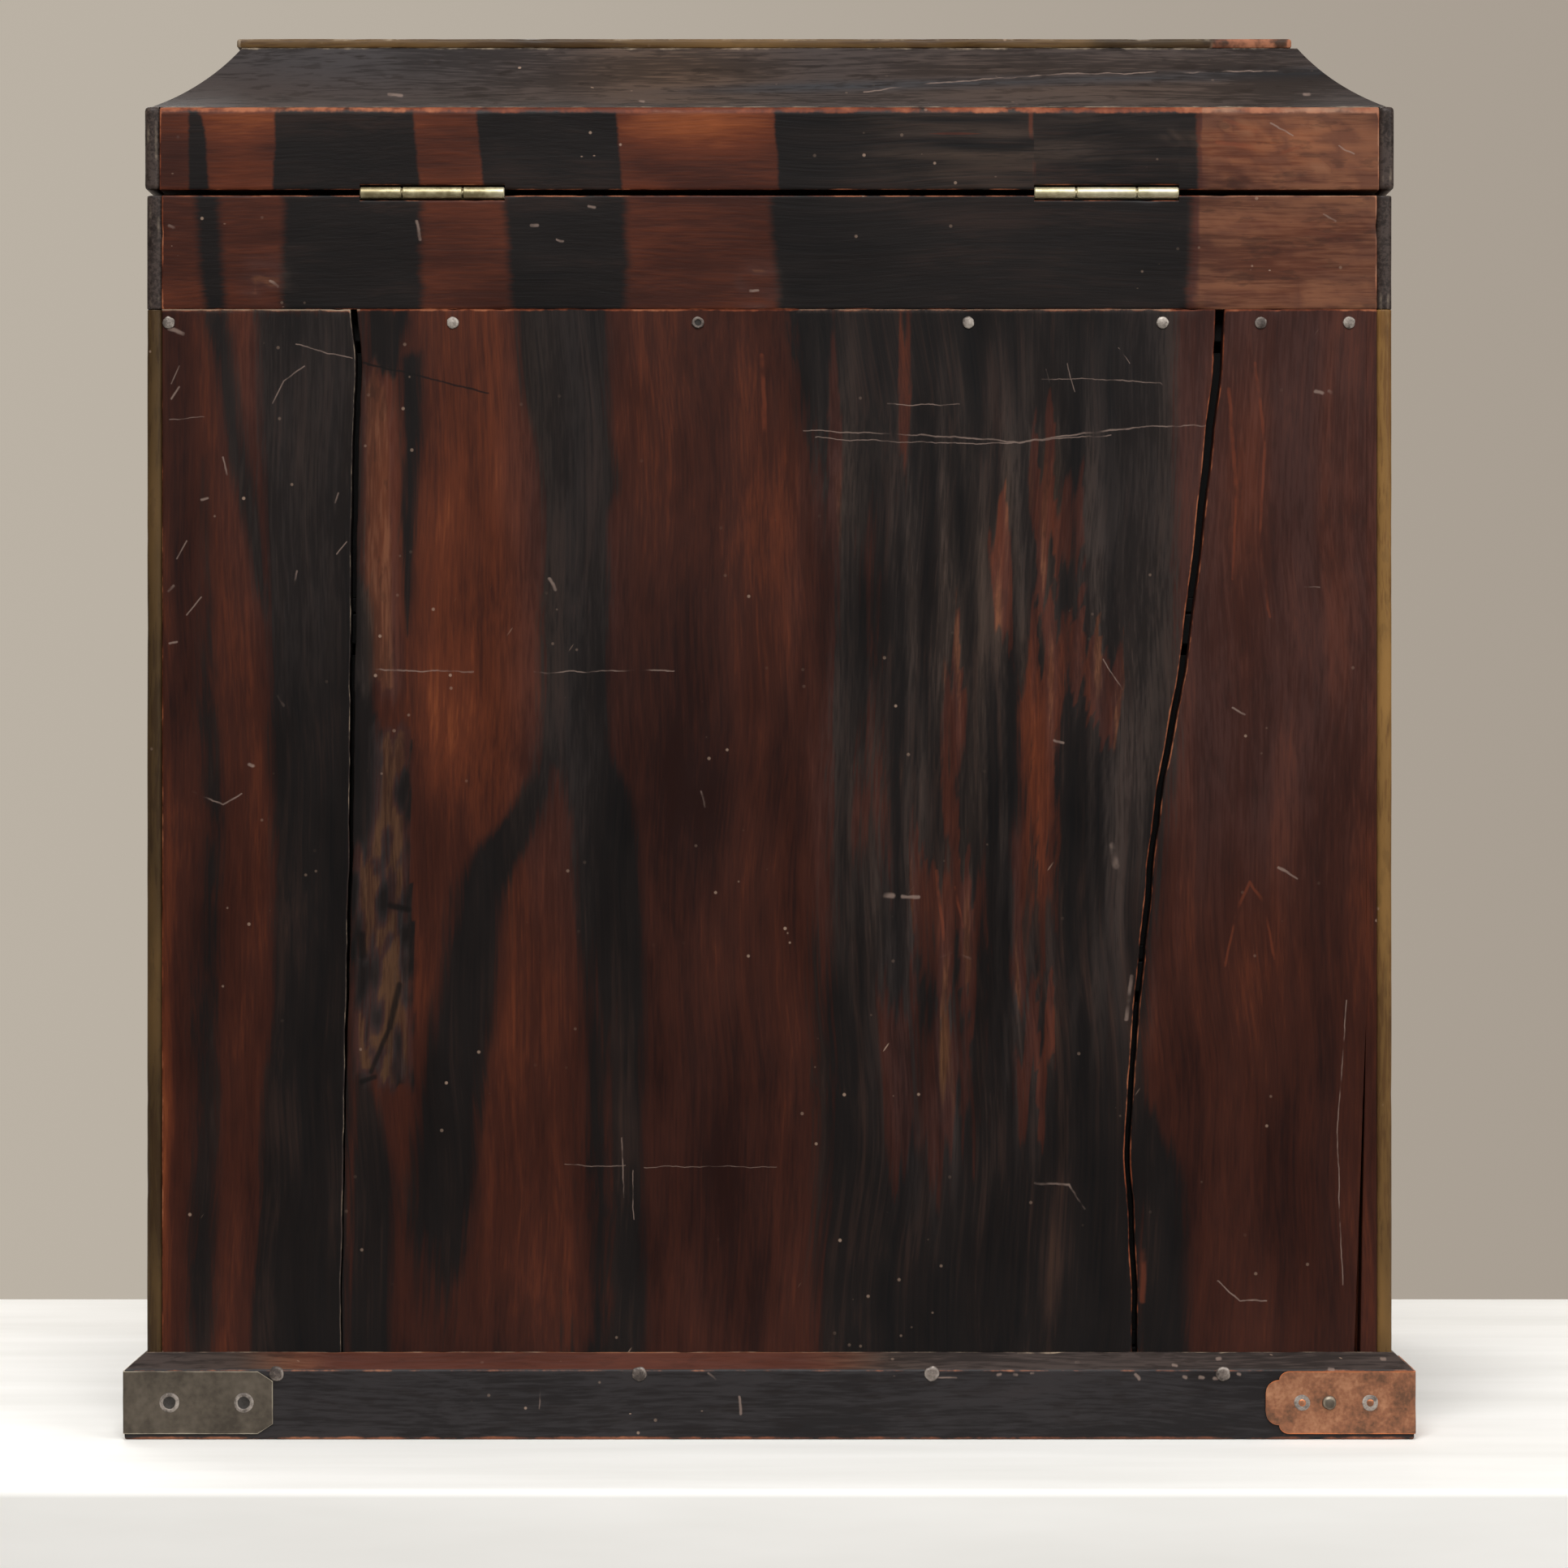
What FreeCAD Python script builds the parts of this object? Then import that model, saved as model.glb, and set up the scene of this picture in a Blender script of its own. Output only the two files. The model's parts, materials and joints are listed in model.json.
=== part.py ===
"""Small lidded tansu chest: a case of three drawers on a plinth, a tray and a coved, hinged lid.

Millimetres. The front faces -Y, +X is to the right seen from the front, +Z is up and the origin
is at the middle of the base. Left and right are the chest's own, seen from its front.
"""

import FreeCAD
import Part

import math
import os
import re

import Sketcher

# Driving dimensions, one spreadsheet cell each
SIZES = {
    # Case
    "case_width": 328,
    "case_depth": 245,
    "case_height": 297,
    "side_thickness": 9,
    "shelf_thickness": 8,
    "housing_depth": 3,
    "foot_clearance": 2,
    "base_height": 23,
    "lower_bay": 94,
    "middle_bay": 84,
    # Back boards in their rebates, with a bead on the lip of each side
    "back_thickness": 6,
    "lip_width": 4,
    "bead_radius": 2.6,
    "bead_rise": 0.94,
    # Plinth
    "plinth_thickness": 5.1,
    "plinth_height": 22.5,
    "plinth_band": 18.2,
    "plinth_ease": 0.8,
    # Tray
    "tray_height": 30,
    "wall_thickness": 9,
    # Lid
    "lid_overhang": 0.6,
    "lid_wall_height": 22,
    "lid_edge_radius": 1.6,
    "cove_run": 21.4,
    "cove_rise": 19,
    "cove_radius": 65,
    "cove_width": 8,
    "top_thickness": 2.6,
    "top_shift": 1.5,
    # Hinges
    "hinge_place": 88.8,
    "hinge_length": 38,
    "hinge_knuckle": 16,
    "knuckle_gap": 0.1,
    "barrel_radius": 1.5,
    "barrel_inset": 0.6,
    "barrel_clearance": 0.5,
    "leaf_thickness": 0.75,
    "leaf_depth": 7,
    "hinge_pin_radius": 0.7,
    "pin_clearance": 0.06,
    "screw_spread": 13,
    "screw_inset": 4.4,
    "screw_head_radius": 1.6,
    "screw_head_rise": 0.35,
    "screw_radius": 0.85,
    "screw_length": 7,
    "screw_clearance": 0.05,
    # Corner plates
    "plate_thickness": 0.6,
    "plate_length": 39.5,
    "plate_height": 16.4,
    "plate_foot": 1.6,
    "cant_length": 4,
    "cant_height": 2.6,
    "lobe_length": 6.3,
    "cusp_length": 3.5,
    "cusp_height": 2.3,
    "lobe_height": 5.6,
    "lobe_radius": 3.4,
    "iron_hole_radius": 1.5,
    "iron_nail_inset": 0.3,
    # Nails
    "nail_radius": 1.7,
    "nail_rise": 0.6,
    "nail_crown": 0.6,
    "nail_shank": 0.9,
    "nail_point": 0.3,
    "nail_length": 16,
    "nail_height": 293.5,
    "plinth_nail_radius": 2.1,
    "plinth_nail_height": 17.3,
    "plinth_nail_length": 9,
    "tack_radius": 1.1,
    "tack_rise": 0.3,
    "stud_radius": 2,
    "stud_rise": 1.1,
    "tack_length": 4.5,
    "tack_hole_radius": 1,
    # Drawers
    "drawer_recess": 3,
    "drawer_side_gap": 0.6,
    "drawer_floor_gap": 0.4,
    "drawer_top_gap": 0.8,
    "drawer_back_gap": 1,
    "front_thickness": 12,
    "front_rebate": 7,
    "drawer_board": 6.5,
    "drawer_bottom": 4,
    "drawer_side_drop": 2,
    # Drop pulls: a bail on two eye posts, each with a rosette and a pin clinched inside
    "post_spread": 32,
    "post_rise": 6,
    "post_thickness": 5,
    "post_half_height": 3.6,
    "eye_reach": 7,
    "rosette_radius": 7.5,
    "rosette_crown": 6.6,
    "rosette_rise": 1.4,
    "pin_half": 1.7,
    "pin_hole_half": 1.8,
    "clinch_length": 10,
    "clinch_thickness": 1,
    "wire_radius": 1.75,
    "eye_clearance": 0.08,
    "arm_reach": 5,
    "bail_end": 3.6,
    "bail_bend": 6,
    "bail_drop": 22,
}

# Cracks down the back, as (height, place across the back, width) from the foot to the top
RIGHT_CRACK = (
    (2, 113.2, 0.3),
    (79, 112.0, 0.4),
    (165, 110.1, 1.0),
    (250, 109.3, 1.6),
    (284, 108.2, 1.7),
    (297, 109.3, 1.7),
)
LEFT_CRACK = (
    (2, -96.0, 1.3),
    (36, -96.2, 1.3),
    (79, -94.3, 1.3),
    (113, -96.6, 1.4),
    (169, -102.6, 1.6),
    (186, -105.8, 1.8),
    (207, -109.5, 1.9),
    (265, -116.3, 2.2),
    (297, -119.1, 2.3),
)
# The split in the left board runs out to nothing at its second row
EDGE_SPLIT = (
    (2, -154.3, 1.9),
    (111, -157.2, 0),
)
CRACKS = {"right_crack": RIGHT_CRACK, "left_crack": LEFT_CRACK, "edge_split": EDGE_SPLIT}

# Nail places across the back, counted from the middle
BACK_NAIL_PLACES = (158.2, 83.4, 18.8, -52.4, -103.5, -129.4, -152.7)
PLINTH_NAIL_PLACES = (129.3, 34.1, -42.6, -119)
# Places of nails along a corner plate, counted from its corner
IRON_NAIL_PLACES = (12.4, 31.9)
COPPER_TACK_PLACES = (12.2, 30)
COPPER_STUD_PLACES = (22.9,)

# Each side of the chest: the plane its mouldings are drawn in and the direction it faces
SIDES = {
    "front": ("YZ_Plane", -1),
    "back": ("YZ_Plane", 1),
    "left": ("XZ_Plane", -1),
    "right": ("XZ_Plane", 1),
}
FACING = {
    "front": FreeCAD.Vector(0, -1, 0),
    "back": FreeCAD.Vector(0, 1, 0),
    "left": FreeCAD.Vector(-1, 0, 0),
    "right": FreeCAD.Vector(1, 0, 0),
    "up": FreeCAD.Vector(0, 0, 1),
    "down": FreeCAD.Vector(0, 0, -1),
}
HANDS = {"left": -1, "right": 1}

# Places worked out from the driving dimensions
HALF_WIDTH = "case_width / 2"
HALF_DEPTH = "case_depth / 2"
INNER_HALF = "(case_width / 2 - side_thickness)"
BACK_INNER = "(case_depth / 2 - back_thickness)"
LOWER_SHELF = "(base_height + lower_bay)"
UPPER_SHELF = "(base_height + lower_bay + shelf_thickness + middle_bay)"
FLOOR_BOTTOM = "(case_height - shelf_thickness)"
LID_GAP = "2 * (barrel_radius - leaf_thickness)"
TRAY_TOP = "(case_height + tray_height)"
AXIS_HEIGHT = "(case_height + tray_height + barrel_radius - leaf_thickness)"
AXIS_DEPTH = "(case_depth / 2 - barrel_inset)"
LID_BOTTOM = f"({TRAY_TOP} + {LID_GAP})"
LID_HALF = "(case_width / 2 + lid_overhang)"
COVE_BOTTOM = f"({LID_BOTTOM} + lid_wall_height)"
COVE_TOP = f"({COVE_BOTTOM} + cove_rise)"
PLINTH_HALF_WIDTH = "(case_width / 2 + plinth_thickness)"
PLINTH_HALF_DEPTH = "(case_depth / 2 + plinth_thickness)"
DRAWER_FACE = "(-case_depth / 2 + drawer_recess)"
DRAWER_END = f"({BACK_INNER} - drawer_back_gap)"

doc = FreeCAD.newDocument("TansuChest")
sheet = doc.addObject("Spreadsheet::Sheet", "Size")
subparts = {}


def fill_sheet():
    """Write every driving dimension to a cell of its own and name the cell."""
    cells = dict(SIZES)
    for crack, rows in CRACKS.items():
        for number, (height, place, width) in enumerate(rows):
            cells[f"{crack}_height_{number}_"] = height
            cells[f"{crack}_place_{number}_"] = place
            cells[f"{crack}_width_{number}_"] = width
    for row, (name, value) in enumerate(cells.items(), start=1):
        sheet.set(f"A{row}", name)
        sheet.set(f"B{row}", str(value))
        sheet.setAlias(f"B{row}", name)
    doc.recompute()
    return frozenset(cells)


CELLS = fill_sheet()


def bound(expression):
    """The expression with each dimension's name pointing at its cell."""
    def point(match):
        word = match.group(0)
        return f"Size.{word}" if word in CELLS else word

    return re.sub(r"[A-Za-z_][A-Za-z_0-9]*", point, str(expression))


def value(expression):
    """The present number behind an expression."""
    return float(sheet.evalExpression(bound(expression)))


def keep(solid, label):
    """Make an object one of the chest's pieces, under its own label."""
    solid.Label = label
    subparts[label] = solid
    return solid


def place(solid, at):
    """Bind an object's place to three expressions."""
    for axis, expression in zip("xyz", at):
        solid.setExpression(f"Placement.Base.{axis}", bound(expression))


def box(x, y, z):
    """A block between two expressions along each axis."""
    solid = doc.addObject("Part::Box", "Block")
    for side, (low, high) in zip(("Length", "Width", "Height"), (x, y, z)):
        solid.setExpression(side, bound(f"({high}) - ({low})"))
    place(solid, (x[0], y[0], z[0]))
    return solid


def rod(facing, at, radius, length):
    """A cylinder from a point along one of the facing directions."""
    solid = doc.addObject("Part::Cylinder", "Rod")
    solid.setExpression("Radius", bound(radius))
    solid.setExpression("Height", bound(length))
    solid.Placement.Rotation = FreeCAD.Rotation(FACING["up"], FACING[facing])
    place(solid, at)
    return solid


def group(solids):
    """Several solids in one object."""
    bundle = doc.addObject("Part::Compound", "Group")
    bundle.Links = list(solids)
    return bundle


def cut(base, tools):
    """The base with every tool taken away."""
    result = doc.addObject("Part::Cut", "Cut")
    result.Base = base
    result.Tool = group(tools)
    return result


def fuse(solids):
    """Several overlapping solids as one."""
    result = doc.addObject("Part::MultiFuse", "Fuse")
    result.Shapes = list(solids)
    result.Refine = True
    return result


def common(first, second):
    """What two solids share."""
    result = doc.addObject("Part::Common", "Common")
    result.Base = first
    result.Tool = second
    return result


def sketch_on(body, plane, offset="0"):
    """An empty sketch on one of the body's own planes, moved along its normal."""
    sketch = body.newObject("Sketcher::SketchObject", "Sketch")
    support = [feature for feature in body.Origin.OriginFeatures if feature.Role == plane]
    sketch.AttachmentSupport = (support[0], [""])
    sketch.MapMode = "FlatFace"
    sketch.setExpression("AttachmentOffset.Base.z", bound(offset))
    return sketch


def bind_constraint(sketch, constraint, expression):
    """Add a sized constraint and bind its size."""
    number = sketch.addConstraint(constraint)
    sketch.setExpression(f"Constraints[{number}]", bound(expression))


def draw(sketch, corners, arcs):
    """A closed outline through the corners, with arcs where arcs gives a side's radius and bulge.

    A bulge of 1 is to the left of the way the outline runs, -1 to the right.
    """
    points = [FreeCAD.Vector(value(across), value(along), 0) for across, along in corners]
    starts = []
    ends = []
    for side, (first, last) in enumerate(zip(points, points[1:] + points[:1])):
        if side in arcs:
            radius, bulge = arcs[side]
            chord = last - first
            leftward = FreeCAD.Vector(-chord.y, chord.x, 0).normalize()
            half_angle = math.asin(chord.Length / 2 / value(radius))
            rise = value(radius) * (1 - math.cos(half_angle))
            middle = (first + last) / 2 + leftward * rise * bulge
            curve = sketch.addGeometry(Part.Arc(first, middle, last))
            bind_constraint(sketch, Sketcher.Constraint("Radius", curve, value(radius)), radius)
        else:
            curve = sketch.addGeometry(Part.LineSegment(first, last))
        starts_here = (sketch.getPoint(curve, 1) - first).Length < (sketch.getPoint(curve, 2) - first).Length
        starts.append((curve, 1 if starts_here else 2))
        ends.append((curve, 2 if starts_here else 1))
    for end, start in zip(ends, starts[1:] + starts[:1]):
        sketch.addConstraint(Sketcher.Constraint("Coincident", *end, *start))
    for (curve, end), (across, along) in zip(starts, corners):
        bind_constraint(sketch, Sketcher.Constraint("DistanceX", -1, 1, curve, end, value(across)), across)
        bind_constraint(sketch, Sketcher.Constraint("DistanceY", -1, 1, curve, end, value(along)), along)


def prism(plane, corners, low, high, arcs=None):
    """A body with one outline, padded between two places along the plane's axis."""
    body = doc.addObject("PartDesign::Body", "Body")
    # The XZ plane's normal points to -Y, so its pad starts from the far side
    offset = f"-({high})" if plane == "XZ_Plane" else low
    sketch = sketch_on(body, plane, offset)
    draw(sketch, corners, arcs or {})
    pad = body.newObject("PartDesign::Pad", "Pad")
    pad.Profile = sketch
    pad.setExpression("Length", bound(f"({high}) - ({low})"))
    return body


def polygon(sides, radius):
    """Corners of a regular polygon with its flats square to the axes."""
    turns = [math.radians(360 * (corner + 0.5) / sides) for corner in range(sides)]
    return [(f"({radius}) * {math.cos(turn):.6f}", f"({radius}) * {math.sin(turn):.6f}") for turn in turns]


def forged(at, facing, *lengths):
    """A faceted body along one axis, each length being (sides, reach, radius, reach, radius)."""
    body = doc.addObject("PartDesign::Body", "Body")
    for sides, *ends in lengths:
        sketches = []
        for reach, radius in (ends[:2], ends[2:]):
            sketches.append(sketch_on(body, "XY_Plane", reach))
            draw(sketches[-1], polygon(sides, radius), {})
        loft = body.newObject("PartDesign::AdditiveLoft", "AdditiveLoft")
        loft.Profile = sketches[0]
        loft.Sections = sketches[1:]
        loft.Ruled = True
    body.Placement.Rotation = FreeCAD.Rotation(FACING["up"], FACING[facing])
    place(body, at)
    return body


def spread(hand, inner, outer):
    """A pair of places across the chest, mirrored for the left hand."""
    if HANDS[hand] > 0:
        return (inner, outer)
    return (f"-({outer})", f"-({inner})")


def mitred_strip(side, section, arcs, reach_x, reach_y, run, bottom, top):
    """One side of a mitred frame, from a section drawn as (inward, height)."""
    plane, sign = SIDES[side]
    along_x = plane == "YZ_Plane"
    across, along = (reach_y, reach_x) if along_x else (reach_x, reach_y)
    outline = [(f"{sign} * ({across} - ({inward}))", height) for inward, height in section]
    bulges = {corner: (radius, sign * bulge) for corner, (radius, bulge) in arcs.items()}
    bar = prism(plane, outline, f"-({along})", along, bulges)
    plan = (
        (f"-({along})", f"{sign} * ({across})"),
        (along, f"{sign} * ({across})"),
        (f"{along} - ({run})", f"{sign} * ({across} - ({run}))"),
        (f"-({along} - ({run}))", f"{sign} * ({across} - ({run}))"),
    )
    if not along_x:
        plan = [(second, first) for first, second in plan]
    return common(bar, prism("XY_Plane", plan, bottom, top))


def nail(at, facing, radius, rise, length):
    """A wrought nail: a low hammered head on a square shank that tapers to its point."""
    return forged(at, facing,
                  (4, f"-({length})", "nail_point", "0", "nail_shank"),
                  (8, "0", radius, rise, f"({radius}) * nail_crown"))


# Plinth


def make_plinth():
    """Four mitred rails with a bevelled top, planted round the foot of the case."""
    section = (
        ("plinth_ease", "0"),
        ("0", "plinth_ease"),
        ("0", "plinth_band"),
        ("plinth_thickness", "plinth_height"),
        ("plinth_thickness", "0"),
    )
    for side in SIDES:
        rail = mitred_strip(side, section, {}, PLINTH_HALF_WIDTH, PLINTH_HALF_DEPTH,
                            "plinth_thickness", "0", "plinth_height")
        keep(rail, f"plinth_{side}_rail")


def plate_leg(side, corner_sign, outline, arcs, holes, hole_radius):
    """One leg of a corner plate on one side, its outline drawn as (from the corner, height)."""
    plane, sign = SIDES[side]
    along_x = plane == "YZ_Plane"
    reach, across = PLINTH_HALF_WIDTH, PLINTH_HALF_DEPTH
    if not along_x:
        reach, across = across, reach
    outer_end = f"({reach} + plate_thickness)"
    corners = [(f"{corner_sign} * ({outer_end} - ({along}))", f"plate_foot + {height}")
               for along, height in outline]
    bulges = {corner: (radius, corner_sign * bulge) for corner, (radius, bulge) in arcs.items()}
    faces = (across, f"{across} + plate_thickness")
    if sign < 0:
        faces = (f"-({faces[1]})", f"-({faces[0]})")
    leg = prism("XZ_Plane" if along_x else "YZ_Plane", corners, faces[0], faces[1], bulges)
    punches = []
    for hole in holes:
        along = f"{corner_sign} * ({outer_end} - {hole})"
        start = f"{sign} * ({across} - plate_thickness)"
        at = (along, start) if along_x else (start, along)
        at = (*at, "plate_foot + plate_height / 2")
        punches.append(forged(at, side, (8, "0", hole_radius, "3 * plate_thickness", hole_radius)))
    return cut(leg, punches)


CANTED_OUTLINE = (
    ("0", "0"),
    ("plate_length - cant_length", "0"),
    ("plate_length", "cant_height"),
    ("plate_length", "plate_height - cant_height"),
    ("plate_length - cant_length", "plate_height"),
    ("0", "plate_height"),
)
SCALLOPED_OUTLINE = (
    ("0", "0"),
    ("plate_length - lobe_length", "0"),
    ("plate_length - cusp_length", "cusp_height"),
    ("plate_length", "lobe_height"),
    ("plate_length", "plate_height - lobe_height"),
    ("plate_length - cusp_length", "plate_height - cusp_height"),
    ("plate_length - lobe_length", "plate_height"),
    ("0", "plate_height"),
)
# Each lobe swells outwards
SCALLOP_ARCS = {corner: ("lobe_radius", -1) for corner in (1, 2, 4, 5)}


def plate_nails(side, corner_sign, places, radius, rise, inset):
    """Nails along one leg of a corner plate, their heads on the plate or sunk in it."""
    plane, sign = SIDES[side]
    nails = []
    for along in places:
        if plane == "YZ_Plane":
            at = (f"{corner_sign} * ({PLINTH_HALF_WIDTH} + plate_thickness - {along})",
                  f"{sign} * ({PLINTH_HALF_DEPTH} + plate_thickness - {inset})")
        else:
            at = (f"{sign} * ({PLINTH_HALF_WIDTH} + plate_thickness - {inset})",
                  f"{corner_sign} * ({PLINTH_HALF_DEPTH} + plate_thickness - {along})")
        nails.append(nail((*at, "plate_foot + plate_height / 2"), side, radius, rise, "tack_length"))
    return nails


def make_corner_plates():
    """An iron plate at the right rear corner and copper ones at the other three, with their nails."""
    nails = []
    for hand, hand_sign in HANDS.items():
        for end in ("front", "back"):
            end_sign = SIDES[end][1]
            iron = (hand, end) == ("right", "back")
            legs = []
            for side, corner_sign in ((end, hand_sign), (hand, end_sign)):
                if iron:
                    legs.append(plate_leg(side, corner_sign, CANTED_OUTLINE, {},
                                          IRON_NAIL_PLACES, "iron_hole_radius"))
                    nails += plate_nails(side, corner_sign, IRON_NAIL_PLACES,
                                         "tack_radius", "tack_rise", "iron_nail_inset + tack_rise")
                else:
                    holes = COPPER_TACK_PLACES + COPPER_STUD_PLACES
                    legs.append(plate_leg(side, corner_sign, SCALLOPED_OUTLINE, SCALLOP_ARCS,
                                          holes, "tack_hole_radius"))
                    nails += plate_nails(side, corner_sign, COPPER_TACK_PLACES, "tack_radius", "tack_rise", "0")
                    nails += plate_nails(side, corner_sign, COPPER_STUD_PLACES, "stud_radius", "stud_rise", "0")
            metal = "iron" if iron else "copper"
            keep(fuse(legs), f"{end}_{hand}_{metal}_corner_plate")
    keep(group(nails), "corner_plate_nails")


# Case


def beaded_side(hand, half_width, thickness, bottom, top, rebate, both_ends):
    """An upright side whose back end, and front end if asked, has a rebate and a beaded lip."""
    sign = HANDS[hand]
    lip = f"{half_width} - lip_width"
    inner = f"{half_width} - {thickness}"
    bead = "bead_rise"
    corners = [
        (half_width, f"{HALF_DEPTH} - {bead}"),
        (lip, f"{HALF_DEPTH} - {bead}"),
        (lip, f"{HALF_DEPTH} - {rebate}"),
        (inner, f"{HALF_DEPTH} - {rebate}"),
    ]
    arcs = {0: ("bead_radius", -sign)}
    if both_ends:
        corners += [(across, f"-({along})") for across, along in reversed(corners)]
        arcs[6] = ("bead_radius", -sign)
    else:
        corners += [(inner, f"-{HALF_DEPTH}"), (half_width, f"-{HALF_DEPTH}")]
    corners = [(f"{sign} * ({across})", along) for across, along in corners]
    return prism("XY_Plane", corners, bottom, top, arcs)


def shelf_span():
    """Across the case, from housing to housing."""
    reach = f"({INNER_HALF} + housing_depth)"
    return (f"-{reach}", reach)


def make_case():
    """Sides with housings, and the boards housed in them."""
    levels = {
        "case_bottom_board": "(base_height - shelf_thickness)",
        "lower_shelf": LOWER_SHELF,
        "upper_shelf": UPPER_SHELF,
        "tray_floor": FLOOR_BOTTOM,
    }
    depth = (f"-{HALF_DEPTH}", BACK_INNER)
    for label, bottom in levels.items():
        keep(box(shelf_span(), depth, (bottom, f"{bottom} + shelf_thickness")), label)
    for hand in HANDS:
        side = beaded_side(hand, HALF_WIDTH, "side_thickness", "foot_clearance", "case_height",
                           "back_thickness", both_ends=False)
        across = spread(hand, f"{INNER_HALF} - housing_depth", f"{INNER_HALF} + housing_depth")
        housings = [box(across, depth, (bottom, f"{bottom} + shelf_thickness")) for bottom in levels.values()]
        keep(cut(side, housings), f"{hand}_side_panel")


def crack_edge(crack, hand):
    """One edge of a crack, from the foot to the top."""
    sign = HANDS[hand]
    edge = []
    for number in range(len(CRACKS[crack])):
        across = f"{crack}_place_{number}_ + {sign} * {crack}_width_{number}_ / 2"
        edge.append((across, f"{crack}_height_{number}_"))
    return edge


def make_back():
    """Three boards nailed into the rebates, parted along the cracks."""
    rim = f"({HALF_WIDTH} - lip_width)"
    foot = "foot_clearance"
    split_left = crack_edge("edge_split", "left")
    split_right = crack_edge("edge_split", "right")
    outlines = {
        "right": [(rim, foot), (rim, "case_height")] + crack_edge("right_crack", "right")[::-1],
        "centre": crack_edge("right_crack", "left") + crack_edge("left_crack", "right")[::-1],
        "left": (crack_edge("left_crack", "left")
                 + [(f"-{rim}", "case_height"), (f"-{rim}", foot)]
                 + split_left + split_right[:1]),
    }
    for name, corners in outlines.items():
        keep(prism("XZ_Plane", corners, BACK_INNER, HALF_DEPTH), f"back_board_{name}")


def make_nails():
    """Nails along the top of the back, into the tray floor, and along the plinth's back rail."""
    back = [nail((across, HALF_DEPTH, "nail_height"), "back", "nail_radius", "nail_rise", "nail_length")
            for across in BACK_NAIL_PLACES]
    keep(group(back), "back_panel_nails")
    plinth = [nail((across, PLINTH_HALF_DEPTH, "plinth_nail_height"), "back",
                   "plinth_nail_radius", "nail_rise", "plinth_nail_length")
              for across in PLINTH_NAIL_PLACES]
    keep(group(plinth), "plinth_nails")


# Tray and lid


def hinge_mortises(wall_edge, upward):
    """Room for both hinges in the edge of a wall: a let-in for the leaf and a deeper one for the barrel."""
    sign = 1 if upward else -1
    depths = (
        (f"{AXIS_DEPTH} - leaf_depth", "leaf_thickness"),
        (f"{AXIS_DEPTH} - barrel_radius - barrel_clearance", "(leaf_thickness + barrel_clearance)"),
    )
    rooms = []
    for hand in HANDS.values():
        across = (f"{hand} * hinge_place - hinge_length / 2 - knuckle_gap",
                  f"{hand} * hinge_place + hinge_length / 2 + knuckle_gap")
        for start, depth in depths:
            heights = (f"{wall_edge} - leaf_thickness", f"{wall_edge} + {depth}")
            if sign < 0:
                heights = (f"{wall_edge} - {depth}", f"{wall_edge} + leaf_thickness")
            rooms.append(box(across, (start, f"{HALF_DEPTH} + leaf_thickness"), heights))
    return rooms


def make_tray():
    """Four walls of the tray that stands on the case, its back wall let in for the hinges."""
    heights = ("case_height", TRAY_TOP)
    across = (f"-({HALF_WIDTH} - lip_width)", f"{HALF_WIDTH} - lip_width")
    inner = f"{HALF_DEPTH} - wall_thickness"
    for hand in HANDS:
        wall = beaded_side(hand, HALF_WIDTH, "wall_thickness", heights[0], heights[1],
                           "wall_thickness", both_ends=True)
        keep(wall, f"tray_{hand}_wall")
    keep(box(across, (f"-{HALF_DEPTH}", f"-({inner})"), heights), "tray_front_wall")
    back = box(across, (inner, HALF_DEPTH), heights)
    keep(cut(back, hinge_mortises(TRAY_TOP, upward=False)), "tray_back_wall")


def eased_wall(side):
    """A front or back wall of the lid with a rounded upper outer edge."""
    sign = SIDES[side][1]
    outer = f"{sign} * {HALF_DEPTH}"
    inner = f"{sign} * ({HALF_DEPTH} - wall_thickness)"
    shoulder = f"{sign} * ({HALF_DEPTH} - lid_edge_radius)"
    corners = (
        (inner, LID_BOTTOM),
        (outer, LID_BOTTOM),
        (outer, f"{COVE_BOTTOM} - lid_edge_radius"),
        (shoulder, COVE_BOTTOM),
        (inner, COVE_BOTTOM),
    )
    reach = f"({LID_HALF} - lip_width)"
    return prism("YZ_Plane", corners, f"-{reach}", reach, {2: ("lid_edge_radius", -sign)})


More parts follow.
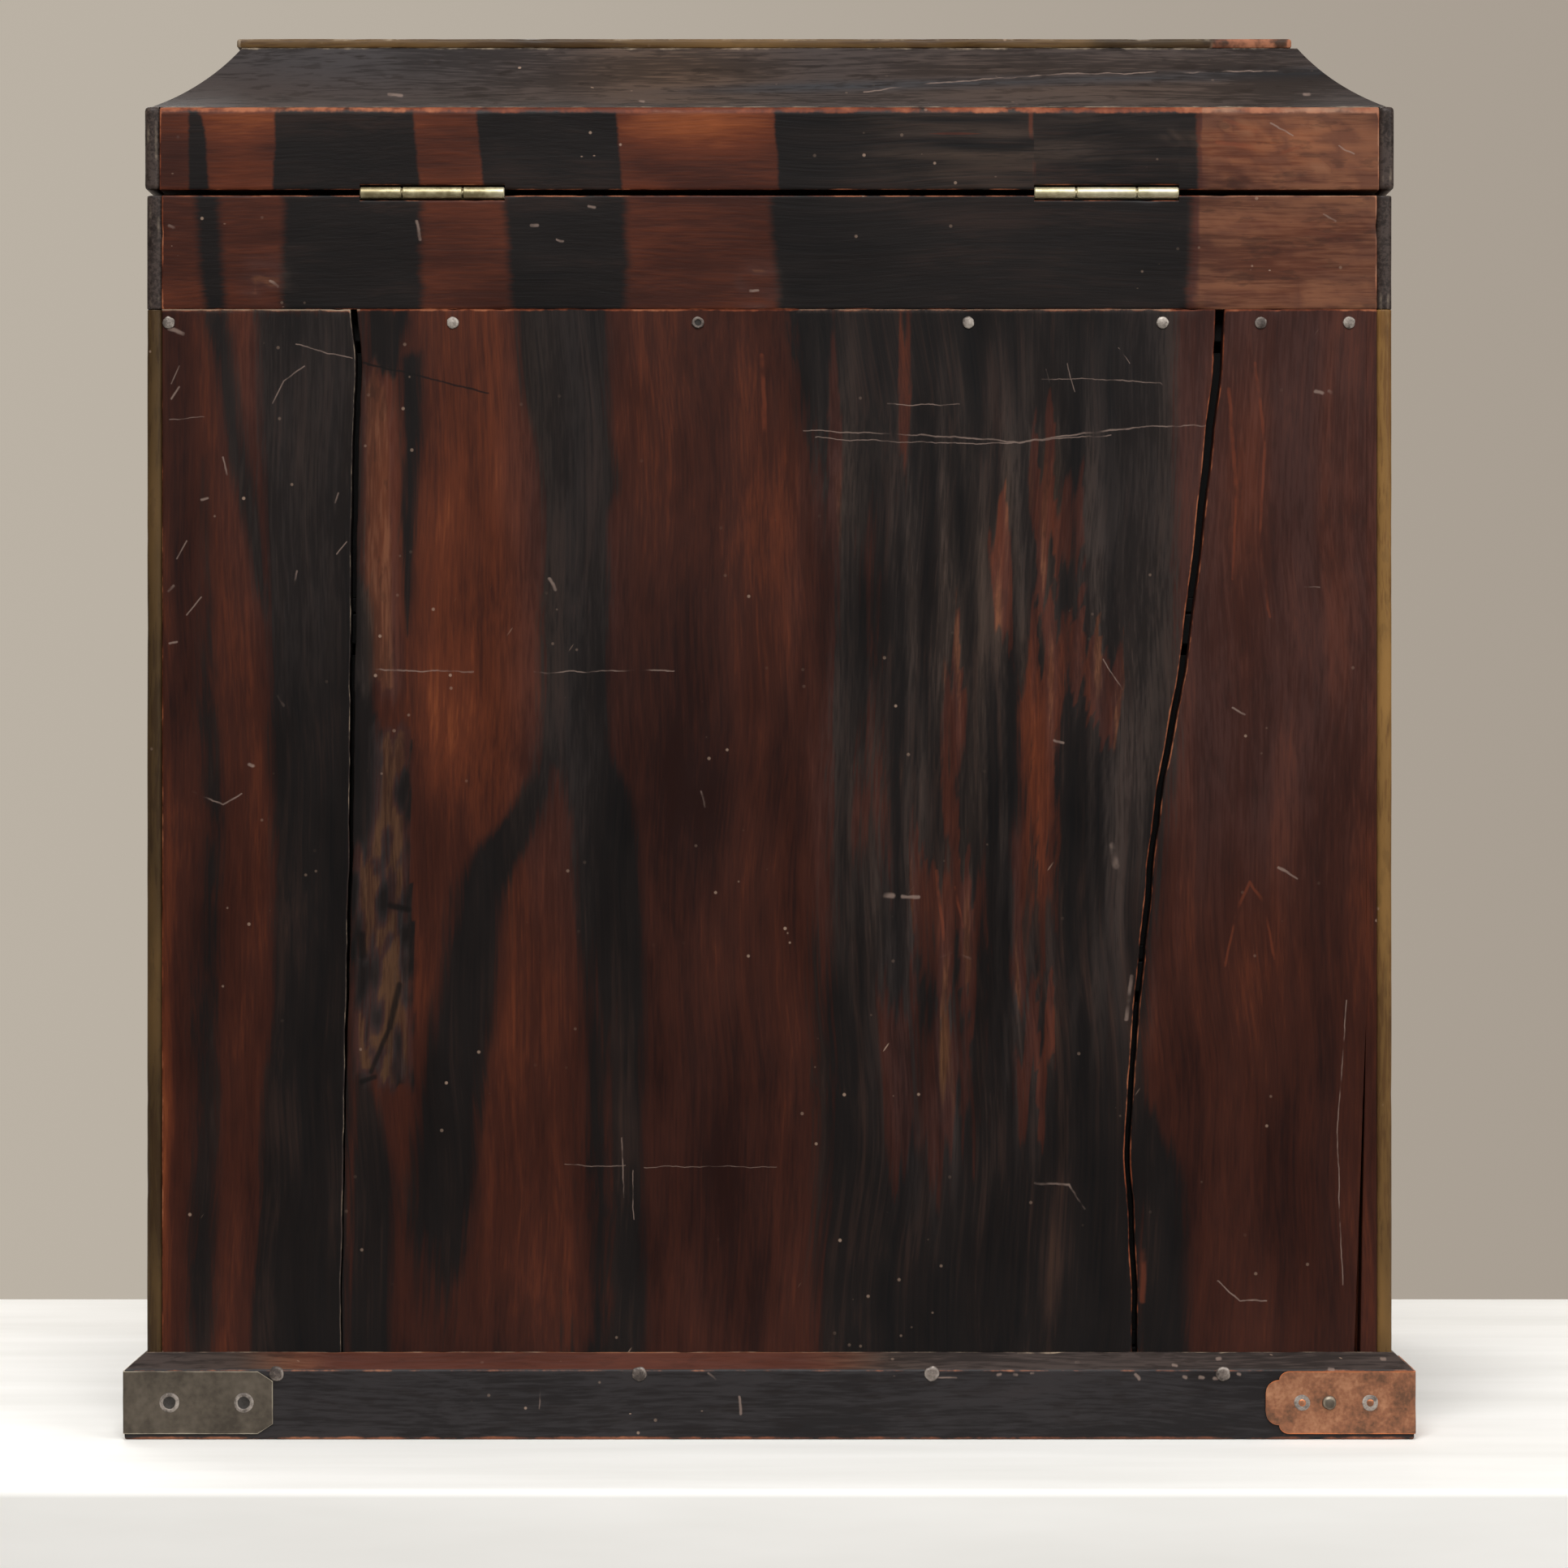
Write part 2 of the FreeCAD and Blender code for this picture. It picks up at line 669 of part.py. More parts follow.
def make_lid():
    """Walls, mitred cove boards and a thin top panel."""
    for hand in HANDS:
        wall = beaded_side(hand, LID_HALF, "wall_thickness", LID_BOTTOM, COVE_BOTTOM,
                           "wall_thickness", both_ends=True)
        sign = HANDS[hand]
        nose = (
            (f"{sign} * ({LID_HALF} - 2 * wall_thickness)", LID_BOTTOM),
            (f"{sign} * {LID_HALF}", LID_BOTTOM),
            (f"{sign} * {LID_HALF}", f"{COVE_BOTTOM} - lid_edge_radius"),
            (f"{sign} * ({LID_HALF} - lid_edge_radius)", COVE_BOTTOM),
            (f"{sign} * ({LID_HALF} - 2 * wall_thickness)", COVE_BOTTOM),
        )
        rounded = prism("XZ_Plane", nose, f"-{HALF_DEPTH}", HALF_DEPTH, {2: ("lid_edge_radius", -sign)})
        keep(common(wall, rounded), f"lid_{hand}_wall")
    keep(eased_wall("front"), "lid_front_wall")
    keep(cut(eased_wall("back"), hinge_mortises(LID_BOTTOM, upward=True)), "lid_back_wall")
    section = (
        ("lid_edge_radius", COVE_BOTTOM),
        ("lid_edge_radius + cove_run", COVE_TOP),
        ("lid_edge_radius + cove_run + cove_width", COVE_TOP),
        ("wall_thickness", COVE_BOTTOM),
    )
    run = "lid_edge_radius + cove_run + cove_width"
    for side in SIDES:
        cove = mitred_strip(side, section, {0: ("cove_radius", 1)}, LID_HALF, HALF_DEPTH,
                            run, COVE_BOTTOM, COVE_TOP)
        keep(cove, f"lid_{side}_cove")
    inset = "(lid_edge_radius + cove_run)"
    top_x = f"({LID_HALF} - {inset})"
    top_y = f"({HALF_DEPTH} - {inset})"
    keep(box((f"top_shift - {top_x}", f"top_shift + {top_x}"), (f"-{top_y}", top_y),
             (COVE_TOP, f"{COVE_TOP} + top_thickness")), "lid_top_panel")


# Hinges


def hinge_leaf(centre, upward):
    """A leaf with its knuckles: the middle one on the lid's leaf, the outer two on the case's."""
    edge = LID_BOTTOM if upward else TRAY_TOP
    heights = (edge, f"{edge} + leaf_thickness")
    if not upward:
        heights = (f"{edge} - leaf_thickness", edge)
    half = "hinge_length / 2"
    near = f"{AXIS_DEPTH} - barrel_radius - barrel_clearance"
    inner = "hinge_knuckle / 2"
    spans = [(f"{centre} - {inner}", f"{centre} + {inner}")]
    if not upward:
        spans = [(f"{centre} - {half}", f"{centre} - {inner} - knuckle_gap"),
                 (f"{centre} + {inner} + knuckle_gap", f"{centre} + {half}")]
    solids = [box((f"{centre} - {half}", f"{centre} + {half}"), (f"{AXIS_DEPTH} - leaf_depth", near), heights)]
    for low, high in spans:
        solids.append(box((low, high), (near, AXIS_DEPTH), heights))
        solids.append(rod("right", (low, AXIS_DEPTH, AXIS_HEIGHT), "barrel_radius", f"({high}) - ({low})"))
    bore = rod("right", (f"{centre} - {half}", AXIS_DEPTH, AXIS_HEIGHT),
               "hinge_pin_radius + pin_clearance", "hinge_length")
    hole = (8, "-2 * leaf_thickness", "screw_radius + screw_clearance",
            "leaf_thickness", "screw_radius + screw_clearance")
    holes = [forged(at, "up", hole) for at in screw_places(centre, upward)]
    return cut(fuse(solids), [bore] + holes)


def screw_places(centre, upward):
    """Where a leaf's two screws have their heads."""
    edge = LID_BOTTOM if upward else TRAY_TOP
    return [(f"{centre} + {sign} * screw_spread", f"{AXIS_DEPTH} - screw_inset", edge)
            for sign in HANDS.values()]


def screw(at, upward):
    """A low-headed screw driven from the gap."""
    return forged(at, "down" if upward else "up",
                  (8, "-screw_length", "screw_radius", "0", "screw_radius"),
                  (8, "0", "screw_head_radius", "screw_head_rise", "screw_head_radius - screw_head_rise"))


def make_hinges():
    """Two butt hinges: leaves, pins and screws."""
    centres = [f"{sign} * hinge_place" for sign in HANDS.values()]
    for name, upward in (("case", False), ("lid", True)):
        keep(group([hinge_leaf(centre, upward) for centre in centres]), f"hinge_{name}_leaves")
        screws = [screw(at, upward) for centre in centres for at in screw_places(centre, upward)]
        keep(group(screws), f"hinge_{name}_screws")
    pins = [rod("right", (f"{centre} - hinge_length / 2", AXIS_DEPTH, AXIS_HEIGHT),
                "hinge_pin_radius", "hinge_length") for centre in centres]
    keep(group(pins), "hinge_pins")


# Drawers


def pull_post(at):
    """An eye post on a rosette, its square pin clinched over inside the drawer front."""
    across, face, height = at
    eye = f"{face} - eye_reach"
    # A nose a little flatter than a half circle
    nose_radius = "1.05 * post_half_height"
    outline = (
        (face, f"{height} - post_half_height"),
        (face, f"{height} + post_half_height"),
        (eye, f"{height} + post_half_height"),
        (eye, f"{height} - post_half_height"),
    )
    half = "post_thickness / 2"
    shank = prism("YZ_Plane", outline, f"{across} - {half}", f"{across} + {half}", {2: (nose_radius, -1)})
    rosette = forged(at, "front", (12, "0", "rosette_radius", "rosette_rise", "rosette_crown"))
    inside = f"{face} + front_thickness"
    pin_heights = (f"{height} - pin_half", f"{height} + pin_half")
    pin = box((f"{across} - pin_half", f"{across} + pin_half"), (face, inside), pin_heights)
    clinch = box((f"{across} - clinch_length / 2", f"{across} + clinch_length / 2"),
                 (inside, f"{inside} + clinch_thickness"), pin_heights)
    eye_hole = rod("right", (f"{across} - post_thickness", eye, height),
                   "wire_radius + eye_clearance", "2 * post_thickness")
    return cut(fuse([shank, rosette, pin, clinch]), [eye_hole])


def bail(face, height):
    """A square-cornered drop handle whose round ends turn in the two posts."""
    arm = "(post_spread + arm_reach)"
    outer = f"({arm} + wire_radius)"
    inner = f"({arm} - wire_radius)"
    low = "(bail_drop + wire_radius)"
    high = "(bail_drop - wire_radius)"
    inner_bend = "(bail_bend - 2 * wire_radius)"
    right_half = (
        (f"{outer} - bail_bend", f"-{low}"),
        (outer, f"-{low} + bail_bend"),
        (outer, "wire_radius"),
        (inner, "wire_radius"),
        (inner, f"-{high} + {inner_bend}"),
        (f"{inner} - {inner_bend}", f"-{high}"),
    )
    left_half = [(f"-({across})", along) for across, along in reversed(right_half)]
    corners = [(across, f"{height} + ({along})") for across, along in (*right_half, *left_half)]
    bends = {0: ("bail_bend", -1), 4: (inner_bend, 1), 6: (inner_bend, 1), 10: ("bail_bend", -1)}
    eye = f"{face} - eye_reach"
    loop = prism("XZ_Plane", corners, f"{eye} - wire_radius", f"{eye} + wire_radius", bends)
    length = f"{arm} - post_spread + bail_end"
    ends = [rod("left", (arm, eye, height), "wire_radius", length),
            rod("right", (f"-{arm}", eye, height), "wire_radius", length)]
    return fuse([loop, *ends])


def make_drawer(name, bay_bottom, bay_top):
    """A drawer: rebated front, two sides, a back and a bottom nailed under, with its pull."""
    bottom = f"({bay_bottom} + drawer_floor_gap)"
    top = f"({bay_top} - drawer_top_gap)"
    half = f"({INNER_HALF} - drawer_side_gap)"
    behind_front = f"({DRAWER_FACE} + front_thickness)"
    wall_heights = (f"{bottom} + drawer_bottom", f"{top} - drawer_side_drop")
    pull_height = f"(({bay_bottom}) + ({bay_top})) / 2 + post_rise"

    cuts = []
    for hand in HANDS:
        across = spread(hand, f"{half} - drawer_board", half)
        depth = (f"{behind_front} - front_rebate", DRAWER_END)
        keep(box(across, depth, wall_heights), f"{name}_drawer_{hand}_side")
        cuts.append(box(across, depth, (wall_heights[0], f"{top} + drawer_side_drop")))
        post = f"{HANDS[hand]} * post_spread"
        cuts.append(box((f"{post} - pin_hole_half", f"{post} + pin_hole_half"), (DRAWER_FACE, behind_front),
                        (f"{pull_height} - pin_hole_half", f"{pull_height} + pin_hole_half")))
    front = box((f"-{half}", half), (DRAWER_FACE, behind_front), (bottom, top))
    keep(cut(front, cuts), f"{name}_drawer_front")

    inner = f"({half} - drawer_board)"
    keep(box((f"-{inner}", inner), (f"{DRAWER_END} - drawer_board", DRAWER_END), wall_heights),
         f"{name}_drawer_back")
    keep(box((f"-{half}", half), (behind_front, DRAWER_END), (bottom, f"{bottom} + drawer_bottom")),
         f"{name}_drawer_bottom")

    posts = [pull_post((f"{sign} * post_spread", DRAWER_FACE, pull_height)) for sign in HANDS.values()]
    keep(group(posts), f"{name}_drawer_pull_posts")
    keep(bail(DRAWER_FACE, pull_height), f"{name}_drawer_bail")


def make_drawers():
    """Three drawers, deeper towards the foot."""
    make_drawer("upper", f"{UPPER_SHELF} + shelf_thickness", FLOOR_BOTTOM)
    make_drawer("middle", f"{LOWER_SHELF} + shelf_thickness", UPPER_SHELF)
    make_drawer("lower", "base_height", LOWER_SHELF)


def check_document():
    """Stop if any object failed or any piece has no sound shape."""
    for item in doc.Objects:
        if "Invalid" in item.State or "Error" in item.State:
            raise RuntimeError(f"{item.Label} ({item.TypeId}) failed: {item.State}")
        if item.isDerivedFrom("Sketcher::SketchObject") and not item.FullyConstrained:
            raise RuntimeError(f"{item.Label} is not fully constrained")
    for label, solid in subparts.items():
        if solid.Shape.isNull() or not solid.Shape.isValid() or not solid.Shape.Solids:
            raise RuntimeError(f"{label} has no sound shape")


def write_parts():
    """One file for each piece, named by its label."""
    os.makedirs("parts", exist_ok=True)
    for label, solid in subparts.items():
        solid.Shape.exportStep(os.path.join("parts", f"{label}.step"))


def main():
    make_plinth()
    make_corner_plates()
    make_case()
    make_back()
    make_nails()
    make_tray()
    make_lid()
    make_hinges()
    make_drawers()
    doc.recompute()
    check_document()
    write_parts()
    print(f"{len(subparts)} pieces")


main()
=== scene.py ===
"""Looks of the small lidded tansu chest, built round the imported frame.

The frame is in metres. Shapes and figure are written in millimetres and scaled when a mesh is made.
The photograph looks at the back, so the camera is on the +Y side and +X is at the picture's left.
Places across the back are counted to the picture's right, so they are -X.
"""

import json
import math

import bmesh
import bpy
import numpy as np
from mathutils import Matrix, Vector, noise


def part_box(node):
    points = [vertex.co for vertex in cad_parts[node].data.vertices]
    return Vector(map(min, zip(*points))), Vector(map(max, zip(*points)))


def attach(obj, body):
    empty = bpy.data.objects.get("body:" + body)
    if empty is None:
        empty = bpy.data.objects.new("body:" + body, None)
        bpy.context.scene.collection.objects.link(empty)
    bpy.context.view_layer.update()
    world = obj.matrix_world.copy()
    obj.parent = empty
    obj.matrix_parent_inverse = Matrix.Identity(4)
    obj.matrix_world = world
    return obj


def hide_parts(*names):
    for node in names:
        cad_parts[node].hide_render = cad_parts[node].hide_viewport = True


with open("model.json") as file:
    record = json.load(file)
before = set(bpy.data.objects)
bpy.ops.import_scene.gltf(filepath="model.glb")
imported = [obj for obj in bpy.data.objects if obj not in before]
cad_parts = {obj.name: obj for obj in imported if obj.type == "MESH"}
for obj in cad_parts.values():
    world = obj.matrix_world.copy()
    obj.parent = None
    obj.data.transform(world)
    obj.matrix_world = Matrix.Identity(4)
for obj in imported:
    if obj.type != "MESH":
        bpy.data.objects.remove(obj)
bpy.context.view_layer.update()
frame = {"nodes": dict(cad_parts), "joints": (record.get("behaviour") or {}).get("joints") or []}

MM = 0.001
HANDS = {"left": -1, "right": 1}
# Each side of the chest and the axis that its boards run along
SIDES = {"front": "x", "back": "x", "left": "y", "right": "y"}
DRAWERS = ("upper", "middle", "lower")
# Distance from a worn corner to where its wear ends
WEAR_WIDTH = 0.5
# Two stations at this distance from a place, before and after it, make a step there
STEP_HALF = 0.01
# Parts of an eased corner, where nothing else is said
EASE_STEPS = 3
# Mesh points closer than this are joined, and faces thinner than this are dissolved
JOIN_DISTANCE = 0.002
THIN_DISTANCE = 0.001
# Edges that turn by more degrees than this stay sharp
SHARP_ANGLE = 40


# Measures taken from the frame


def span(node):
    """A node's lowest and highest corners in millimetres."""
    low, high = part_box(node)
    return low / MM, high / MM


def joint_place(name):
    """A joint's own point in millimetres."""
    return Vector(next(joint["pos_m"] for joint in frame["joints"] if joint["name"] == name)) / MM


def edge_rows(node, low, high):
    """A back board's edge between two places across, as (height, x) rows from the foot up."""
    places = np.array([vertex.co for vertex in frame["nodes"][node].data.vertices]) / MM
    places = places[(places[:, 0] > low) & (places[:, 0] < high)]
    return sorted({(round(z, 2), round(x, 2)) for x, y, z in places})


def lumps(node):
    """Lowest and highest corners of each separate solid in a node, in millimetres."""
    shape = bmesh.new()
    shape.from_mesh(frame["nodes"][node].data)
    bmesh.ops.remove_doubles(shape, verts=shape.verts, dist=MM * 0.001)
    left = set(shape.verts)
    found = []
    while left:
        island = [left.pop()]
        for vertex in island:
            for edge in vertex.link_edges:
                other = edge.other_vert(vertex)
                if other in left:
                    left.remove(other)
                    island.append(other)
        places = np.array([vertex.co for vertex in island]) / MM
        found.append((places.min(axis=0), places.max(axis=0)))
    shape.free()
    return sorted(found, key=lambda corners: tuple(np.round(corners[0], 2)))


TRAY_LOW, TRAY_HIGH = span("tray_back_wall")
LID_LOW, LID_HIGH = span("lid_back_wall")
COVE_LOW, COVE_HIGH = span("lid_back_cove")
LID_OUTER = span("lid_right_wall")[1]
PLINTH_HIGH = span("plinth_back_rail")[1]
BACK = TRAY_HIGH.y
HINGE = joint_place("lid_hinge")


# Mesh helpers


def bent(start, corner, end, share):
    """A point on the smooth bend from start to end that leans to a corner."""
    return start.lerp(corner, share).lerp(corner.lerp(end, share), share)


def eased_outline(corners, counts, segments=EASE_STEPS):
    """Points (a, b, worn) round a counter-clockwise outline of (a, b, radius) corners.

    Each corner is eased by its radius, and each side is divided by its count.
    A divided side also has a point close to each corner, so that wear stays on the corner.
    """
    ends = []
    for index, (a, b, radius) in enumerate(corners):
        corner = Vector((a, b))
        before = Vector(corners[index - 1][:2]) - corner
        after = Vector(corners[(index + 1) % len(corners)][:2]) - corner
        convex = after.cross(before) > 0
        ends.append((corner, before.normalized() * radius, after.normalized() * radius, convex))
    points = []
    for index, (corner, before, after, convex) in enumerate(ends):
        for step in range(segments + 1):
            share = step / segments
            point = bent(corner + before, corner, corner + after, share)
            points.append((point.x, point.y, 1 - 0.6 * abs(2 * share - 1) if convex else 0.0))
        count = counts[index]
        if count > 1:
            following = ends[(index + 1) % len(ends)]
            side_start = corner + after
            side_end = following[0] + following[1]
            guard = min(WEAR_WIDTH / max((side_end - side_start).length, 0.01), 0.3)
            shares = np.clip(np.arange(1, count) / count, guard, 1 - guard)
            for share in (guard, *shares, 1 - guard):
                point = side_start.lerp(side_end, share)
                points.append((point.x, point.y, 0.0))
    return points


def rectangle(low_a, low_b, high_a, high_b, *radii):
    """Corners (a, b, radius) of a rectangle, counter-clockwise from its lowest one."""
    places = ((low_a, low_b), (high_a, low_b), (high_a, high_b), (low_a, high_b))
    return [(*place, radius) for place, radius in zip(places, radii)]


# Outline points closer than this are at one place
SAME_PLACE = 1e-4


def with_runs_joined(places, steps):
    """Places round an outline, each run of them that doesn't step forward brought to its middle."""
    start = next(index for index, step in enumerate(steps) if step > 0)
    runs = []
    for index in (*range(start, len(places)), *range(start)):
        if steps[index] > 0:
            runs.append([])
        runs[-1].append(index)
    joined = list(places)
    for run in runs:
        middle = sum((places[index] for index in run), Vector((0, 0))) / len(run)
        for index in run:
            joined[index] = middle
    return joined


def inset(points, distance):
    """Outline points moved inwards. Points that would pass each other on the way meet instead."""
    places = [Vector(point[:2]) for point in points]
    moved = []
    for index, place in enumerate(places):
        others = places[index:] + places[:index]
        apart = [other for other in others if (other - place).length > SAME_PLACE]
        moved.append(place + (apart[0] - apart[-1]).orthogonal().normalized() * distance)
    while True:
        steps = [(places[index] - places[index - 1]).dot(moved[index] - moved[index - 1])
                 for index in range(len(places))]
        if min(steps) >= 0:
            return [(place.x, place.y, point[2]) for place, point in zip(moved, points)]
        moved = with_runs_joined(moved, steps)


def eased_ends(low, high, count, radius):
    """Stations (place, inset, worn) from low to high, with both ends eased."""
    ease = [step / EASE_STEPS for step in range(EASE_STEPS + 1)]
    stations = [(low + radius * t * t, radius * (1 - t) ** 2, 1.0) for t in ease]
    middle = np.linspace(low + radius + WEAR_WIDTH, high - radius - WEAR_WIDTH, count + 1)
    stations += [(place, 0.0, 0.0) for place in middle]
    stations += [(high - radius * t * t, radius * (1 - t) ** 2, 1.0) for t in reversed(ease)]
    return stations


def stepped_stations(stations, places):
    """Stations with a pair close together at each of some places, where the section changes."""
    pairs = [(place + side * STEP_HALF, 0.0, 0.0) for place in places for side in (-1, 1)]
    return sorted(stations + pairs)


def lengthwise_rings(section, stations):
    """Rings along X; section gives (y, z, worn) points at a place."""
    return [[(Vector((place, y, z)), max(worn, end)) for y, z, worn in inset(section(place), shrink)]
            for place, shrink, end in stations]


def bar_rings(corners, counts, stations):
    """Rings along X of one eased section of (y, z, radius) corners."""
    outline = eased_outline(corners, counts)
    return lengthwise_rings(lambda place: outline, stations)


def new_shape():
    """An empty mesh that keeps wear for its vertices."""
    shape = bmesh.new()
    shape.verts.layers.float.new("wear")
    return shape


def add_vertex(shape, place, worn):
    vertex = shape.verts.new(place)
    vertex[shape.verts.layers.float.get("wear")] = worn
    return vertex


def add_swept(shape, rings):
    """Add a closed solid through rings of (place, worn), all with the same number of points."""
    rows = [[add_vertex(shape, place, worn) for place, worn in ring] for ring in rings]
    for row, following in zip(rows, rows[1:]):
        for index in range(len(row)):
            shape.faces.new((row[index - 1], row[index], following[index], following[index - 1]))
    shape.faces.new(reversed(rows[0]))
    shape.faces.new(rows[-1])


def clean(shape):
    """Join points at one place, drop thin faces and turn all faces outwards."""
    bmesh.ops.remove_doubles(shape, verts=shape.verts, dist=JOIN_DISTANCE)
    bmesh.ops.dissolve_degenerate(shape, edges=shape.edges, dist=THIN_DISTANCE)
    bmesh.ops.recalc_face_normals(shape, faces=shape.faces)
    # Ends are divided while they are flat, before wear bends their edges
    bmesh.ops.triangulate(shape, faces=[face for face in shape.faces if len(face.verts) > 4])


def swept_mesh(rings):
    """A closed mesh through rings, with points at one place joined."""
    shape = new_shape()
    add_swept(shape, rings)
    clean(shape)
    return shape


# Lengths of the broad and fine waves in a board's faces and of the nicks in its edges
RIPPLE_LENGTHS = (34, 11)
NICK_LENGTHS = (7, 2.4)
# Noise above this makes a nick
NICK_START = 0.35


def two_waves(place, lengths, shifts):
    """Smooth noise at a place, with a finer wave of half its strength."""
    broad, fine = [noise.noise(place / length + Vector(shift)) for length, shift in zip(lengths, shifts)]
    return broad + 0.5 * fine


def roughen(shape, ripple, chip, seed):
    """Uneven faces and chipped edges, as on old hand-planed boards."""
    wear = shape.verts.layers.float.get("wear")
    shape.normal_update()
    moves = []
    for vertex in shape.verts:
        wave = two_waves(vertex.co, RIPPLE_LENGTHS, ((seed, 0, 0), (0, seed, 0)))
        nick = two_waves(vertex.co, NICK_LENGTHS, ((0, 0, seed), (seed, seed, 0)))
        depth = max(0.0, nick - NICK_START) * chip * vertex[wear]
        moves.append(vertex.normal * (wave * ripple - depth))
    for vertex, move in zip(shape.verts, moves):
        vertex.co += move


def make_object(name, shape, materials):
    """A mesh object in metres from a shape in millimetres, smooth but for its sharp edges."""
    bmesh.ops.scale(shape, vec=(MM, MM, MM), verts=shape.verts)
    for face in shape.faces:
        face.smooth = True
    for edge in shape.edges:
        edge.smooth = edge.calc_face_angle(0.0) < math.radians(SHARP_ANGLE)
    mesh = bpy.data.meshes.new(name)
    shape.to_mesh(mesh)
    shape.free()
    piece = bpy.data.objects.new(name, mesh)
    bpy.context.scene.collection.objects.link(piece)
    for material in materials:
        mesh.materials.append(material)
    return piece


def stand_for(piece, body, node):
    """Let a piece ride on a body in place of a node."""
    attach(piece, body)
    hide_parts(node)


def write_attribute(mesh, name, values, kind="FLOAT"):
    """Keep a number or vector for every vertex."""
    attribute = mesh.attributes.get(name) or mesh.attributes.new(name, kind, "POINT")
    key = "vector" if kind == "FLOAT_VECTOR" else "value"
    attribute.data.foreach_set(key, np.ravel(values).astype(np.float32))


# Figure of the wood, painted on vertices

# Corners of band edges are rounded over this height
CORNER_REACH = 4.0
# How far inside a band a place counts that is far outside all of them
FAR_OUTSIDE = -40.0


def smooth_rows(rows, at):
    """Places at some heights along (height, place) rows, with rounded corners."""
    heights, places = np.array(rows, float).T
    near = [np.interp(at + offset, heights, places) for offset in (-CORNER_REACH, 0, CORNER_REACH)]
    return (near[0] + 2 * near[1] + near[2]) / 4


def between(across, height, left, right):
    """How far each place is between two edges, in millimetres, negative outside them."""
    return np.minimum(across - smooth_rows(left, height), smooth_rows(right, height) - across)


def band(across, height, left, right):
    """How far each place is inside a band that ends with its edges, negative outside it."""
    low = max(left[0][0], right[0][0])
    high = min(left[-1][0], right[-1][0])
    return np.minimum(between(across, height, left, right), np.minimum(height - low, high - height))


def spot(across, height, centre, half_width, half_height):
    """A soft oval patch, 1 in the middle and 0 outside."""
    away = np.hypot((across - centre[0]) / half_width, (height - centre[1]) / half_height)
    return np.clip(1.25 - away, 0, 1)


def patches(across, height, rows):
    """The sum of soft patches, each (amount, centre, half width, half height)."""
    return sum(amount * spot(across, height, *patch) for amount, *patch in rows)


def strongest_patch(start, factor, across, height, rows):
    """The strongest of a start and some soft patches, all times a factor."""
    found = start
    for amount, *patch in rows:
        found = np.maximum(found, amount * factor * spot(across, height, *patch))
    return found


def wander(places, stretch, seed):
    """Smooth noise from -1 to 1 at some places, stretched by a length along each axis."""
    offset = Vector((seed * 7.3, seed * 3.1, seed * 5.7))
    scaled = places / np.array(stretch)
    return np.array([noise.noise(Vector(place) + offset) for place in scaled])


def frayed(places, seed, *waves):
    """Heights moved up and down from one line of the grain to the next, by (amount, width) waves."""
    lines = places * np.array((1, 0, 0))
    heights = places[:, 2].copy()
    for index, (amount, width) in enumerate(waves):
        heights += amount * wander(lines, (width, 1, 1), seed + index)
    return heights


# Dark bands on the back as left and right edges, each in (height, across) rows from the foot up
BACK_BANDS = (
    # Streak and wide band on the right board
    (((208, -130), (223, -135), (256, -141), (297, -148.5)),
     ((208, -129.5), (223, -131.5), (256, -136.5), (297, -142.5))),
    (((2, -137.5), (49, -136), (84, -133), (113, -131), (165, -130), (191, -131), (297, -134.5)),
     ((2, -111), (297, -107))),
    # Streak and foot beside the first crack
    (((211, -95), (223, -96.5), (286, -98)), ((211, -94.5), (223, -93), (286, -91))),
    (((2, -112), (96, -109)), ((2, -97), (70, -98), (96, -106))),
    # The widest band, and a foot on the left board
    (((-4, 13), (121, 13), (235, 12), (264, 9), (300, 3)),
     ((-4, 99), (100, 99), (180, 107), (259, 107), (300, 106.5))),
    (((-4, 97), (93, 95)), ((-4, 110), (70, 110), (93, 98))),
)
# A patch in the centre board's upper corner and a stain beside the first crack
RAGGED_BANDS = (
    (((283, -106), (300, -106.5)), ((283, -97), (300, -93))),
    (((155, -112), (226, -112)),
     ((155, -105.5), (165, -103), (185, -102.5), (200, -104), (215, -104.5), (226, -106.5))),
)
# The band that forks, and the lighter wood in the fork
FORKED_BAND = (
    ((2, -99), (56, -97), (67, -94), (91, -91.5), (110, -88.5), (128, -85.5), (143, -83), (152, -80),
     (158, -75.5), (163, -69.5), (169, -64.5), (176, -61.5), (187, -60.5), (212, -60.5), (241, -60),
     (259, -61.5), (278, -65.5), (300, -67)),
    ((2, -33), (99, -33), (121, -32.5), (158, -34.5), (171, -36), (180, -41), (205, -42), (227, -41.5),
     (243, -43), (249, -39), (265, -41.5), (281, -42.5), (300, -43)),
)
FORK_ISLAND = (
    ((-4, -77), (84, -75.5), (106, -73.5), (125, -71), (147, -69), (161, -60), (176, -56)),
    ((-4, -55), (84, -53), (106, -52.5), (121, -51.5), (158, -51.5), (169, -53.5), (176, -55.5)),
)
# A faint streak by the right board's outer edge
EDGE_STREAK = (
    ((2, -152), (40, -153.5), (95, -153), (140, -152), (165, -149.5), (200, -151), (225, -149),
     (264, -148.5)),
    ((2, -147), (40, -145), (95, -144), (140, -144.5), (165, -143.5), (200, -145), (225, -146.5),
     (264, -147.5)),
)
